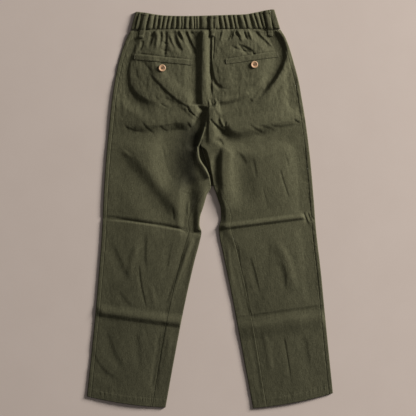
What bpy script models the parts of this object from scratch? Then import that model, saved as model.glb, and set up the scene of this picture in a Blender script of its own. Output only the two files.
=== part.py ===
"""Linen trousers with an elastic waist, laid face down, so that the back shows.

+X runs to the right of the back view, +Y towards the waist and +Z up, away from the surface that
the trousers lie on. The origin is under the middle of the garment, on that surface.
Each leg is a flat tube of two panels. The front panel lies underneath and turns up round both edges
of the leg, as far as the side seam and the inseam, which show on the back. The back panel lies on
top of it, between those seams, and carries the folds.
The tables are in millimetres, and MM turns them into metres.
"""

import math

import bmesh
import bpy
import numpy as np

MM = 0.001

# Cloth and the clearances between its pieces, in mm
CLOTH = 1.4             # wall of one panel
HEM_CLOTH = 2.2         # wall where the hem is turned up inside
BAND_CLOTH = 2.0        # waistband casing with its elastic
LOOP_CLOTH = 1.6        # folded strip of a belt loop
WELT_CLOTH = 1.2        # folded strip below a pocket mouth
SEAM_GAP = 0.3          # between neighbouring pieces
LAYER_GAP = 0.3         # least space between two layers

SIDE_SEAM_INSET = 10    # side seam to the outer edge of the leg
HEM_DEPTH_RISE = 6      # length over which the hem's extra layer begins
ARC_STEPS = 3           # facets round the turned edge of a leg
EDGE_FADE = 12          # folds fade out this close to a turned edge
BULGE_WIDTH = 80        # width over which a leg rises from its edge to its middle
CROTCH_BULGE = 35       # the same width at the inner edge beside the crotch
CROTCH_END = -20        # y where it begins to widen
CROTCH_BLEND = 120      # length over which it widens to BULGE_WIDTH
STEEPEST_WALL = 1.7     # most that a wall is deepened under a steep flank
SETTLED = 12.0          # above this height the ridges are pressed lower by their own weight
SETTLED_RISE = 4.0      # and they never stand more than this above it

# Edges of the garment as it lies. The inner edge is the centre back seam down to the fork, then
# the edge of the slot between the legs down to the crotch, then the inner edge of the leg.
LEFT_OUTER = (
    # y, x
    (447, -198), (426, -209), (396, -220), (366, -229), (321, -238), (276, -245), (201, -253),
    (126, -260), (36, -266), (-54, -270), (-159, -278), (-264, -287), (-354, -296), (-469, -308),
)
RIGHT_OUTER = (
    # y, x
    (450, 176), (426, 190), (396, 201), (366, 210), (321, 222), (276, 230), (201, 242),
    (126, 251), (36, 259), (-54, 266), (-159, 278), (-264, 288), (-354, 297), (-461, 308),
)
LEFT_INNER = (
    # y, x
    (448, 4), (372, 5), (310, 5), (272, -2), (242, -8), (212, -13), (187, -11), (172, -16),
    (160, -25), (147, -24), (132, -20), (116, -14), (100, -6), (82, -1), (56, 3), (36, -7),
    (6, -16), (-24, -25), (-40, -26), (-58, -21), (-84, -26), (-129, -38), (-249, -65),
    (-369, -88), (-497, -111),
)
RIGHT_INNER = (
    # y, x
    (448, 4), (372, 5), (310, 5), (272, -2), (242, -8), (212, -13), (187, -11), (172, -16),
    (160, -25), (147, -11), (132, -6), (116, -2), (100, 1), (82, 5), (56, 9), (42, 14),
    (21, 21), (0, 27), (-24, 28), (-50, 22), (-70, 24), (-99, 30), (-204, 52), (-324, 75),
    (-499, 108),
)
# The front panels meet below the slot, so that it has cloth under it down to the crotch.
FRONT_MEETING = (
    # y, x
    (160, -25), (147, -18), (132, -13), (116, -8), (100, -3), (82, 2), (56, 6),
)
# Inseam to the inner edge of the leg
LEFT_INSEAM_INSET = (
    # y, inset
    (56, 7), (36, 12), (6, 21), (-40, 29), (-100, 34), (-300, 36), (-497, 34),
)
RIGHT_INSEAM_INSET = (
    # y, inset
    (56, 7), (36, 12), (6, 20), (-40, 28), (-100, 35), (-300, 38), (-499, 34),
)
# Height of the upper cloth above the surface that the garment lies on
FULLNESS = (
    # y, at the edge, in the middle
    (448, 6.2, 8.0), (400, 5.6, 10.6), (300, 5.4, 12.1), (200, 5.4, 11.6), (120, 5.4, 10.6),
    (60, 5.4, 9.6), (-40, 5.2, 7.8), (-275, 5.2, 6.8), (-500, 5.4, 6.2),
)

# Lines across both legs, each a row of points in every panel
STATIONS = (
    # line, left outer y, left inner y, right inner y, right outer y, sag, rows down to the next
    ("waist seam", 447, 448, 448, 449, 1.5, 5),
    ("pocket mouth", 391, 368, 368, 399, 0, 1),
    ("welt foot", 376, 354, 354, 384, 0, 15),
    ("fork", 182, 160, 160, 187, 0, 9),
    ("crotch", 90, 56, 56, 82, 0, 7),
    ("above knee crease", -12, -49, -39, -10, 0, 1),
    ("knee crease", -21, -58, -48, -19, 0, 1),
    ("below knee crease", -30, -67, -57, -28, 0, 9),
    ("above shin crease", -250, -283, -266, -233, 0, 1),
    ("shin crease", -259, -292, -275, -242, 0, 1),
    ("below shin crease", -268, -301, -284, -251, 0, 7),
    ("hem top", -437, -467, -467, -429, -5, 1),
    ("hem", -469, -497, -499, -461, -5, 0),
)
# Places across a back panel, from the side seam (0) to the inner edge (1). A welt runs between
# the two that are named for it.
LEFT_ACROSS = (0, 0.06, 0.12, 0.18, 0.24, 0.30, 0.36, 0.42, 0.48, 0.54, 0.60, 0.66, 0.72,
               0.77, 0.81, 0.85, 0.885, 0.92, 0.95, 0.975, 1)
LEFT_WELT = (0.12, 0.77)
RIGHT_ACROSS = (0, 0.05, 0.11, 0.17, 0.23, 0.29, 0.35, 0.41, 0.47, 0.54, 0.61, 0.68, 0.75,
                0.82, 0.87, 0.91, 0.94, 0.97, 1)
RIGHT_WELT = (0.11, 0.82)

# Largest folds: each is a ridge or a trough (negative height) along a curve from its start,
# through its middle, to its end. Its flanks differ: one on the side that FLANK_SIDE points to,
# right or up, and one on the other. It fades in and out over a share of its length.
FLANK_SIDE = (0.84, 0.54)
FOLDS = (
    # start x, y, middle x, y, end x, y, width right or up, width left or down, height,
    # fade in, fade out
    # centre back: deep valley beside the seam, ridge beside it, and both below the seat
    (-16, 462, -18, 352, -15, 252, 20, 12, 4.6, 0.12, 0.08),
    (-33, 462, -38, 342, -32, 257, 14, 32, -6.0, 0.12, 0.05),
    (-3, 260, 1, 222, -3, 157, 22, 8, 7.0, 0.12, 0.3),
    (-14, 242, -27, 187, -42, 140, 10, 30, -8.5, 0.1, 0.25),
    # sharp diagonal across the left seat, and the lip that ends it
    (-157, 355, -104, 296, -50, 256, 35, 8, 4.2, 0.3, 0.02),
    (-51, 260, -44, 243, -22, 226, 22, 8, 5.0, 0.02, 0.02),
    # sweep round the left hip
    (-178, 437, -211, 367, -207, 302, 16, 25, -4.0, 0.25, 0.15),
    (-210, 322, -190, 277, -125, 247, 17, 35, -5.6, 0.25, 0.3),
    (-192, 452, -202, 422, -217, 382, 9, 10, 2.0, 0.2, 0.3),
    (-150, 372, -130, 352, -110, 312, 15, 20, 1.8, 0.3, 0.3),
    # hollow round the right hip with a ridge outside it, and the curve below the right pocket
    (130, 462, 185, 385, 118, 260, 11, 37, -6.4, 0.1, 0.3),
    (145, 460, 203, 385, 145, 252, 17, 11, 4.6, 0.15, 0.25),
    (135, 312, 90, 263, 20, 255, 12, 25, -4.0, 0.35, 0.04),
    (208, 357, 206, 292, 203, 242, 14, 25, -3.0, 0.3, 0.3),
    # bands across both thighs
    (-245, 212, -150, 191, -17, 193, 24, 45, -5.4, 0.2, 0.1),
    (1, 226, 15, 208, 40, 190, 8, 17, -4.6, 0.08, 0.15),
    (15, 205, 58, 168, 115, 171, 25, 30, -8.4, 0.25, 0.3),
    (70, 170, 155, 185, 248, 202, 30, 50, -7.6, 0.15, 0.05),
    (40, 197, 100, 205, 248, 227, 35, 25, 3.0, 0.2, 0.1),
    # hollow in the left inner thigh, the rim of the slot and the fold down the inseam
    (-37, 197, -80, 120, -55, 55, 47, 60, -9.0, 0.25, 0.15),
    (-11, 207, -20, 182, -28, 155, 5, 9, 6.0, 0.2, 0.05),
    (-28, 157, -18, 118, -1, 75, 6, 14, 8.0, 0.1, 0.1),
    (-38, 92, -48, 10, -31, -63, 16, 24, -5.4, 0.15, 0.05),
    # slanting trough in the left thigh and the swell above it
    (-255, 150, -180, 47, -80, -58, 32, 55, -3.4, 0.2, 0.25),
    (-232, 177, -150, 80, -65, -43, 50, 27, 3.6, 0.3, 0.2),
    # trough down the right inner thigh, the ridge beside it and a soft trough outside that
    (20, 152, 18, 97, 23, 35, 14, 12, -3.4, 0.3, 0.3),
    (30, 192, 39, 107, 43, -33, 30, 20, 6.6, 0.2, 0.12),
    (75, 162, 105, 77, 90, -13, 22, 35, -2.4, 0.25, 0.3),
    # pucker along the right side seam
    (226, 205, 234, 122, 246, -13, 9, 18, -3.0, 0.05, 0.05),
    # pressed creases at the knees and shins
    (-277, -22, -150, -37, -20, -62, 10, 8, -3.2, 0.01, 0.01),
    (238, -19, 130, -31, 13, -47, 11, 9, 3.6, 0.03, 0.12),
    (-290, -256, -200, -270, -60, -290, 17, 16, 4.2, 0.1, 0.04),
    (290, -245, 175, -262, 60, -281, 9, 22, -3.2, 0.01, 0.01),
    # long soft folds in the lower legs
    (-52, -48, -76, -143, -115, -273, 9, 17, -1.9, 0.06, 0.05),
    (-110, -283, -125, -353, -136, -458, 9, 17, -1.8, 0.06, 0.06),
    (-250, -78, -230, -133, -202, -188, 10, 25, -1.8, 0.3, 0.3),
    (-180, -88, -195, -133, -200, -178, 12, 12, 1.4, 0.2, 0.3),
    (-260, -298, -247, -353, -215, -413, 10, 25, -1.8, 0.3, 0.3),
    (-295, -348, -277, -398, -215, -438, 9, 22, -1.9, 0.2, 0.3),
    (68, -88, 81, -188, 103, -273, 9, 15, -1.3, 0.1, 0.1),
    (183, -78, 195, -158, 193, -238, 15, 12, 1.8, 0.2, 0.2),
    (248, -33, 256, -123, 268, -228, 9, 20, -2.2, 0.1, 0.2),
    # gathers running down from the waistband
    (-90, 450, -82, 415, -65, 387, 8, 12, -2.6, 0.1, 0.4),
    (-62, 450, -47, 410, -27, 382, 8, 13, -3.0, 0.1, 0.35),
    (-110, 450, -110, 412, -115, 372, 8, 9, -2.0, 0.1, 0.2),
    (-140, 447, -145, 427, -155, 397, 8, 10, -2.0, 0.1, 0.4),
    (48, 462, 51, 437, 30, 412, 8, 14, -2.6, 0.05, 0.35),
    (84, 455, 88, 437, 95, 420, 8, 9, -2.4, 0.08, 0.3),
    (113, 442, 135, 420, 158, 397, 8, 17, -2.4, 0.2, 0.3),
)
FOLD_STEPS = 20         # straight pieces that stand for one fold's curve

# Waistband, whose gathers are the spaces between these valleys, given at its mid height
BAND_TOP = (
    # x, y
    (-186, 493), (-168, 492), (-138, 487), (-109, 484), (-65, 483), (-5, 484), (55, 486),
    (86, 487), (116, 492), (146, 498), (161, 499),
)
BAND_TOP_ENDS = (-186, 161)
GATHER_VALLEYS = (
    -170, -155, -141, -131, -119, -107, -96, -85, -72, -64, -52, -41, -34, -26,
    -4, 10, 23, 36, 48, 60, 70, 88, 103, 115, 128, 139, 151,
)
GATHER_STEPS = 4        # facets across one gather
GATHER_LOW = 4.6        # height of the upper cloth in a valley
GATHER_RISE = 3.8       # a gather's rise for each REFERENCE_GATHER of its width
REFERENCE_GATHER = 12
GATHER_MOST = 4.6
BAND_ROWS = (
    # share of the way down the band, share of the gathers' rise
    (0.0, 0.35), (0.12, 0.85), (0.5, 1.0), (0.86, 0.8), (1.0, 0.5),
)

BELT_LOOPS = (
    # name, top x, top y, top width, foot x, foot y, foot width
    ("belt_loop_left", -162, 489, 16, -172, 427, 13),
    ("belt_loop_centre", 10, 482, 20, 6, 431, 10),
    ("belt_loop_right", 143, 495, 14, 152, 432, 11),
)
LOOP_ROWS = (
    # share of the way down the loop, rise of its turned end
    (0.0, 0.9), (0.09, 0.9), (0.13, 0.0), (0.35, 0.3), (0.6, 0.3), (0.87, 0.0), (0.91, 0.9),
    (1.0, 0.9),
)
LOOP_ROW = 9            # half the longest run between two of these rows
LOOP_REACH = 13         # the loop clears all cloth within this distance of it

BUTTONS = (
    # name, x, y
    ("button_left", -119, 351),
    ("button_right", 111, 360),
)
BUTTON_PROFILE = (
    # radius, height: from the middle of the dish, over the rim, to the middle of the underside
    (0.0, 1.5), (3.6, 1.6), (5.8, 2.6), (7.2, 3.0), (8.4, 2.6), (9.0, 1.6), (8.6, 0.5), (7.4, 0.0),
    (0.0, 0.0),
)
BUTTON_SIDES = 24
HOLE_RADIUS = 0.9
HOLE_RING = 1.9         # distance of the four holes from the middle
HOLE_SIDES = 8
BUTTON_REACH = 16       # the button clears all cloth within this distance of its middle

LINEN = (0.095, 0.094, 0.058)
LINEN_SHADE = (0.080, 0.080, 0.049)
HORN = (0.50, 0.27, 0.14)


def curve_at(rows, at, column=1):
    """Smooth curve through a table: column as a function of the table's first column.

    It is a cubic between neighbouring rows, with slopes that never overshoot them.
    """
    table = np.array(sorted(rows), dtype=float)
    known, value = table[:, 0], table[:, column]
    step = np.diff(known)
    rise = np.diff(value) / step
    same_way = rise[:-1] * rise[1:] > 0
    blend = 2 * rise[:-1] * rise[1:] / np.where(same_way, rise[:-1] + rise[1:], 1)
    slope = np.concatenate(([rise[0]], np.where(same_way, blend, 0), [rise[-1]]))
    at = np.clip(np.asarray(at, dtype=float), known[0], known[-1])
    i = np.clip(np.searchsorted(known, at) - 1, 0, len(step) - 1)
    t = (at - known[i]) / step[i]
    return (value[i] * (1 + 2 * t) * (1 - t) ** 2 + value[i + 1] * (3 - 2 * t) * t ** 2
            + step[i] * (slope[i] * t * (1 - t) ** 2 - slope[i + 1] * t ** 2 * (1 - t)))


def soft_step(t):
    """0 below 0, 1 above 1, and a smooth rise between."""
    t = np.clip(t, 0, 1)
    return t * t * (3 - 2 * t)


def fold_height(x, y, row):
    """Rise of one fold: a rounded ridge, or trough, along a parabola through its three points."""
    start, middle, end = (np.array(row[k:k + 2], dtype=float) for k in (0, 2, 4))
    wide_right, wide_left, height, fade_in, fade_out = row[6:]
    bend = 2 * middle - (start + end) / 2
    t = np.linspace(0, 1, FOLD_STEPS + 1)[:, None]
    path = (1 - t) ** 2 * start + 2 * t * (1 - t) * bend + t ** 2 * end
    point = np.stack((x, y), axis=-1)[..., None, :]
    run = path[1:] - path[:-1]
    along = np.clip(((point - path[:-1]) * run).sum(-1) / (run ** 2).sum(-1), 0, 1)
    off = point - path[:-1] - along[..., None] * run
    away = np.linalg.norm(off, axis=-1)
    nearest = away.argmin(-1)[..., None]
    distance = np.take_along_axis(away, nearest, -1)[..., 0]
    side = np.take_along_axis(off @ np.array(FLANK_SIDE), nearest, -1)[..., 0]
    share = (nearest[..., 0] + np.take_along_axis(along, nearest, -1)[..., 0]) / FOLD_STEPS
    fade = soft_step(share / fade_in) * soft_step((1 - share) / fade_out)
    across = np.minimum(distance / np.where(side > 0, wide_right, wide_left), 1)
    return height * fade * (1 - across ** 2) ** 2


def cloth_height(x, y):
    """Height of the garment's upper surface: its fullness, with every large fold on top."""
    crotch, fork = 56, 160
    x, y = np.asarray(x, dtype=float), np.asarray(y, dtype=float)
    left = x < np.where(y > crotch, curve_at(FRONT_MEETING, y), 0)
    left = np.where(y > fork, x < curve_at(LEFT_INNER, y), left)
    outer = np.where(left, x - curve_at(LEFT_OUTER, y), curve_at(RIGHT_OUTER, y) - x)
    inner = np.where(left, curve_at(LEFT_INNER, y) - x, x - curve_at(RIGHT_INNER, y))
    parted = soft_step((fork - y) / (fork - crotch))
    legs_apart = np.where(y < crotch, 1.0, 0.0)
    edge = curve_at(FULLNESS, y, 1)
    middle = curve_at(FULLNESS, y, 2)
    widening = soft_step((CROTCH_END - y) / CROTCH_BLEND)
    inner_width = CROTCH_BULGE + (BULGE_WIDTH - CROTCH_BULGE) * widening
    bulge = soft_step(outer / BULGE_WIDTH) * (1 - parted * (1 - soft_step(inner / inner_width)))
    fade = soft_step((outer - edge / 2) / EDGE_FADE)
    fade = fade * (1 - legs_apart * (1 - soft_step((inner - edge / 2) / EDGE_FADE)))
    folds = sum(fold_height(x, y, row) for row in FOLDS)
    height = edge + (middle - edge) * bulge + folds * fade
    settled = SETTLED + SETTLED_RISE * np.tanh((height - SETTLED) / SETTLED_RISE)
    height = np.where(height > SETTLED, settled, height)
    return np.maximum(height, 2 * wall(x, y) + LAYER_GAP)


def hem_top(x):
    """Height y of the line where the hem's inner layer ends, on the leg that x lies in."""
    line = next(row for row in STATIONS if row[0] == "hem top")
    left = np.interp(x, (-304, -105), (line[1], line[2]))
    right = np.interp(x, (102, 304), (line[3], line[4]))
    return np.where(x < 0, left, right) - 2


def wall(x, y):
    """Thickness of a leg panel's wall, doubled softly where the hem is turned up."""
    return CLOTH + (HEM_CLOTH - CLOTH) * soft_step((hem_top(x) - y) / HEM_DEPTH_RISE)


def upright_wall(x, y):
    """Depth of the wall straight down, deepened on a slope so that it's as thick across."""
    step = 1.0
    across = (cloth_height(x + step, y) - cloth_height(x - step, y)) / (2 * step)
    along = (cloth_height(x, y + step) - cloth_height(x, y - step)) / (2 * step)
    return wall(x, y) * np.minimum(np.sqrt(1 + across ** 2 + along ** 2), STEEPEST_WALL)


def station_rows(outer_column, inner_column):
    """Both ends' y and the sag of every row of points, evenly spaced from station to station."""
    rows = []
    for above, below in zip(STATIONS[:-1], STATIONS[1:]):
        for k in range(above[6]):
            t = k / above[6]
            rows.append([above[c] + t * (below[c] - above[c])
                         for c in (outer_column, inner_column, 5)])
    last = STATIONS[-1]
    rows.append([last[outer_column], last[inner_column], last[5]])
    return np.array(rows)


def station_index(name):
    """Number of the row of points that lies on a named station."""
    count = 0
    for row in STATIONS:
        if row[0] == name:
            return count
        count += row[6]
    raise ValueError(name)


class Leg:
    """One leg's edges and rows of points. side is -1 for the left leg and +1 for the right."""

    def __init__(self, name, side, outer, inner, inseam, across, welt, columns):
        self.name, self.side = name, side
        self.across, self.welt = np.array(across), welt
        rows = station_rows(*columns)
        self.outer_y, self.inner_y, self.sag = rows.T
        self.outer = curve_at(outer, self.outer_y)
        self.inner = curve_at(inner, self.inner_y)
        self.inset = curve_at(inseam, self.inner_y)
        self.fork = station_index("fork")
        self.crotch = station_index("crotch")
        below = np.arange(len(self.inner)) >= self.crotch
        self.below_crotch = below
        self.side_seam = self.outer - side * SIDE_SEAM_INSET
        self.inner_seam = np.where(below, self.inner + side * self.inset, self.inner)

    def line_y(self, row, x):
        """y of a row of points at x: a straight line between its ends, with its sag."""
        u = (x - self.outer[row]) / (self.inner[row] - self.outer[row])
        return (self.outer_y[row] + u * (self.inner_y[row] - self.outer_y[row])
                + self.sag[row] * 4 * u * (1 - u))


def closed_sheet(name, upper, lower, material, keep=None):
    """One closed body between two grids of points, filled where keep is true, in a new object."""
    rows, columns = upper.shape[0] - 1, upper.shape[1] - 1
    if keep is None:
        keep = np.ones((rows, columns), dtype=bool)
    mesh = bmesh.new()
    corner = {}

    def vertex(layer, i, j):
        if (layer, i, j) not in corner:
            corner[layer, i, j] = mesh.verts.new((lower, upper)[layer][i, j] * MM)
        return corner[layer, i, j]

    def kept(i, j):
        return 0 <= i < rows and 0 <= j < columns and keep[i, j]

    for i in range(rows):
        for j in range(columns):
            if not keep[i, j]:
                continue
            for layer in (0, 1):
                a, b = vertex(layer, i, j), vertex(layer, i, j + 1)
                c, d = vertex(layer, i + 1, j + 1), vertex(layer, i + 1, j)
                mesh.faces.new((a, b, c))
                mesh.faces.new((a, c, d))
            sides = (
                ((i - 1, j), (i, j), (i, j + 1)), ((i + 1, j), (i + 1, j + 1), (i + 1, j)),
                ((i, j - 1), (i + 1, j), (i, j)), ((i, j + 1), (i, j + 1), (i + 1, j + 1)),
            )
            for beyond, start, end in sides:
                if not kept(*beyond):
                    low_start, low_end = vertex(0, *start), vertex(0, *end)
                    high_start, high_end = vertex(1, *start), vertex(1, *end)
                    mesh.faces.new((low_start, low_end, high_end))
                    mesh.faces.new((low_start, high_end, high_start))
    bmesh.ops.recalc_face_normals(mesh, faces=mesh.faces[:])
    return new_object(name, mesh, material)


def new_object(name, mesh, material):
    """Puts a bmesh into an object of its own in the scene."""
    data = bpy.data.meshes.new(name)
    mesh.to_mesh(data)
    mesh.free()
    data.materials.append(material)
    data.shade_smooth()
    data.set_sharp_from_angle(angle=math.radians(50))
    obj = bpy.data.objects.new(name, data)
    bpy.context.scene.collection.objects.link(obj)
    return obj


def new_material(name, colour, roughness):
    """Plain material of one sub-part."""
    material = bpy.data.materials.new(name)
    material.use_nodes = True
    shader = material.node_tree.nodes["Principled BSDF"]
    shader.inputs["Base Color"].default_value = (*colour, 1)
    shader.inputs["Roughness"].default_value = roughness
    shader.inputs["Metallic"].default_value = 0
    return material


def back_panel_points(leg):
    """Upper surface of a back panel, from the waist seam to the hem and seam to seam."""
    start = (leg.side_seam - leg.side * SEAM_GAP / 2)[:, None]
    end = (leg.inner_seam + leg.side * SEAM_GAP / 2)[:, None]
    x = start + leg.across * (end - start)
    y = np.array([leg.line_y(row, x[row]) for row in range(len(x))])
    y[0] -= SEAM_GAP / 2
    return np.stack((x, y, cloth_height(x, y)), axis=-1)


def build_back_panel(leg):
    """Upper layer of one leg. Returns the points of its upper surface."""
    upper = back_panel_points(leg)
    lower = upper.copy()
    x, y, z = np.moveaxis(upper, -1, 0)
    lower[..., 2] = np.maximum(z - upright_wall(x, y), wall(x, y) + LAYER_GAP)
    closed_sheet("back_" + leg.name, upper, lower,
                 new_material("back_" + leg.name + "_linen", LINEN, 0.9))
    return upper


def turned_edge(edge, inwards, height, thickness):
    """Points round a turned edge, from under it to on top of it, outside and inside the wall.

    A half circle, whose outermost point lies at edge; inwards is the way to the leg's middle.
    """
    angle = np.linspace(-math.pi / 2, math.pi / 2, ARC_STEPS + 1)
    radius = height / 2
    outside = np.stack((edge + inwards * radius - inwards * radius * np.cos(angle),
                        radius + radius * np.sin(angle)))
    small = radius - thickness
    inside = np.stack((edge + inwards * radius - inwards * small * np.cos(angle),
                       radius + small * np.sin(angle)))
    return outside, inside


def front_section(leg, row):
    """One row of a front panel: x and z of both faces of the wall, in order along the cloth.

    It runs from the side seam on top, round the outer edge, along the underside, and either to
    the centre seam or round the inner edge and up to the inseam.
    """
    y_out, y_in = leg.outer_y[row], leg.inner_y[row]
    thickness = float(wall(leg.outer[row], y_out))
    seam = leg.side_seam[row] + leg.side * SEAM_GAP / 2
    edge_height = float(curve_at(FULLNESS, y_out, 1))
    outside, inside = turned_edge(leg.outer[row], -leg.side, edge_height, thickness)
    seam_height = float(cloth_height(seam, y_out))
    x = [seam, *outside[0][::-1]]
    top = [seam_height, *outside[1][::-1]]
    inner_x = [seam, *inside[0][::-1]]
    inner_z = [seam_height - float(upright_wall(seam, y_out)), *inside[1][::-1]]

    if leg.below_crotch[row]:
        outside, inside = turned_edge(leg.inner[row], leg.side, float(curve_at(FULLNESS, y_in, 1)),
                                      thickness)
        inseam = leg.inner_seam[row] - leg.side * SEAM_GAP / 2
        flange = outside[0][-1] + np.array((1 / 3, 2 / 3, 1)) * (inseam - outside[0][-1])
        flange_y = np.full(3, y_in)
        flange_top = cloth_height(flange, flange_y)
        flange_low = np.maximum(flange_top - upright_wall(flange, flange_y), thickness + LAYER_GAP)
        middle = (outside[0][0] + x[-1]) / 2
        x += [middle, *outside[0], *flange]
        top += [0, *outside[1], *flange_top]
        inner_x += [middle, *inside[0], *flange]
        inner_z += [thickness, *inside[1], *flange_low]
    else:
        meeting = float(curve_at(FRONT_MEETING, y_in)) if row > leg.fork else leg.inner[row]
        end = meeting + leg.side * SEAM_GAP / 2
        middle = (end + x[-1]) / 2
        spare = ARC_STEPS + 3
        x += [middle, end] + [end] * spare
        top += [0, 0] + [0] * spare
        inner_x += [middle, end] + [end] * spare
        inner_z += [thickness, thickness] + [thickness] * spare
    return np.array(x), np.array(top), np.array(inner_x), np.array(inner_z)


def build_front_panel(leg):
    """Lower layer of one leg, flat underneath, turned up round the leg's edges."""
    upper, lower = [], []
    for row in range(len(leg.outer)):
        x, z, inner_x, inner_z = front_section(leg, row)
        y = leg.line_y(row, x)
        if row == 0:
            y = y - SEAM_GAP / 2
        upper.append(np.stack((x, y, z), axis=-1))
        lower.append(np.stack((inner_x, y, inner_z), axis=-1))
    upper, lower = np.array(upper), np.array(lower)
    keep = np.ones((upper.shape[0] - 1, upper.shape[1] - 1), dtype=bool)
    wrap = ARC_STEPS + 3
    keep[:leg.crotch, -wrap:] = False
    closed_sheet("front_" + leg.name, upper, lower,
                 new_material("front_" + leg.name + "_linen", LINEN_SHADE, 0.9), keep)


def build_welt(leg, panel):
    """Strip below a pocket mouth: the back panel's own cells, moved out."""
    first, last = (int(np.argmin(abs(leg.across - place))) for place in leg.welt)
    mouth = station_index("pocket mouth")
    cells = panel[mouth:mouth + 2, first:last + 1]
    lower = cells + (0, 0, LAYER_GAP)
    upper = lower + (0, 0, WELT_CLOTH)
    closed_sheet("pocket_welt_" + leg.name, upper, lower,
                 new_material("pocket_welt_" + leg.name + "_linen", LINEN, 0.9))


def waist_line(legs, x):
    """y of the waist seam at x, on whichever leg x lies over."""
    left, right = legs
    return np.where(x < left.inner[0], left.line_y(0, x), right.line_y(0, x))


def band_places(legs, share, down):
    """x and y in the waistband: share runs from its left end to its right, down from its top."""
    left = BAND_TOP_ENDS[0] + down * (legs[0].outer[0] - BAND_TOP_ENDS[0])
    right = BAND_TOP_ENDS[1] + down * (legs[1].outer[0] - BAND_TOP_ENDS[1])
    x = left + share * (right - left)
    top_x = BAND_TOP_ENDS[0] + share * (BAND_TOP_ENDS[1] - BAND_TOP_ENDS[0])
    foot_x = legs[0].outer[0] + share * (legs[1].outer[0] - legs[0].outer[0])
    foot = waist_line(legs, foot_x) + SEAM_GAP / 2
    return x, (1 - down) * curve_at(BAND_TOP, top_x) + down * foot


def gather_columns(legs):
    """Shares across the band, and the gathers' rise there: a rounded arch between two valleys."""
    left = (BAND_TOP_ENDS[0] + legs[0].outer[0]) / 2
    right = (BAND_TOP_ENDS[1] + legs[1].outer[0]) / 2
    stops = np.array((left + SIDE_SEAM_INSET, *GATHER_VALLEYS, right - SIDE_SEAM_INSET))
    share, rise = [], []
    for start, end in zip(stops[:-1], stops[1:]):
        most = min(GATHER_RISE * (end - start) / REFERENCE_GATHER, GATHER_MOST)
        for k in range(GATHER_STEPS):
            t = k / GATHER_STEPS
            share.append((start + t * (end - start) - left) / (right - left))
            rise.append(most * math.sin(math.pi * t) ** 0.8)
    share.append((stops[-1] - left) / (right - left))
    rise.append(0)
    return np.array(share), np.array(rise)


def build_waistband_back(legs):
    """Gathered upper part of the waistband. Returns the points of its upper surface."""
    share, rise = gather_columns(legs)
    upper = []
    for down, strength in BAND_ROWS:
        x, y = band_places(legs, share, down)
        upper.append(np.stack((x, y, GATHER_LOW + strength * rise), axis=-1))
    upper = np.array(upper)
    lower = upper - (0, 0, BAND_CLOTH)
    closed_sheet("waistband_back", upper, lower,
                 new_material("waistband_back_linen", LINEN, 0.9))
    return upper


def build_waistband_front(legs):
    """Plain lower part of the waistband, flat underneath, turned up round both ends."""
    height = float(curve_at(FULLNESS, legs[0].outer_y[0], 1))
    gathered = gather_columns(legs)[0]
    upper, lower = [], []
    for down, _ in BAND_ROWS:
        ends = [float(band_places(legs, share, down)[0]) for share in (0, 1)]
        seams = band_places(legs, gathered[[0, -1]], down)[0] + (-SEAM_GAP, SEAM_GAP)
        left_out, left_in = turned_edge(ends[0], 1, height, BAND_CLOTH)
        right_out, right_in = turned_edge(ends[1], -1, height, BAND_CLOTH)
        middle = np.linspace(left_out[0][0], right_out[0][0], 6)[1:-1]
        flat = np.zeros(len(middle))
        x = [seams[0], *left_out[0][::-1], *middle, *right_out[0], seams[1]]
        z = [height, *left_out[1][::-1], *flat, *right_out[1], height]
        inner_x = [x[0], *left_in[0][::-1], *middle, *right_in[0], x[-1]]
        inner_z = [height - BAND_CLOTH, *left_in[1][::-1], *(flat + BAND_CLOTH), *right_in[1],
                   height - BAND_CLOTH]
        x = np.array(x)
        y = band_places(legs, (x - ends[0]) / (ends[1] - ends[0]), down)[1]
        upper.append(np.stack((x, y, z), axis=-1))
        lower.append(np.stack((inner_x, y, inner_z), axis=-1))
    closed_sheet("waistband_front", np.array(upper), np.array(lower),
                 new_material("waistband_front_linen", LINEN_SHADE, 0.9))


def highest(cloth, x, y, reach_x, reach_y):
    """Height of the highest point of the cloth within a rectangle round (x, y)."""
    near = (abs(cloth[:, 0] - x) < reach_x) & (abs(cloth[:, 1] - y) < reach_y)
    return cloth[near, 2].max()


def build_belt_loop(name, top_x, top_y, top_width, foot_x, foot_y, foot_width, cloth):
    """Narrow strip laid over the waistband, with a thicker turned end at top and foot.

    Each row of it rests on the highest cloth round it.
    """
    upper, lower = [], []
    for down, rise in LOOP_ROWS:
        x = top_x + down * (foot_x - top_x)
        y = top_y + down * (foot_y - top_y)
        half = (top_width + down * (foot_width - top_width)) / 2
        bottom = highest(cloth, x, y, half + LOOP_REACH, LOOP_REACH + LOOP_ROW) + LAYER_GAP
        across = x + half * np.array((-1, -0.8, 0.8, 1))
        edge = np.array((0.5, 0, 0, 0.5))
        upper.append([(place, y, bottom + LOOP_CLOTH + rise - low)
                      for place, low in zip(across, edge)])
        lower.append([(place, y, bottom) for place in across])
    closed_sheet(name, np.array(upper), np.array(lower), new_material(name + "_linen", LINEN, 0.9))


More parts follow.
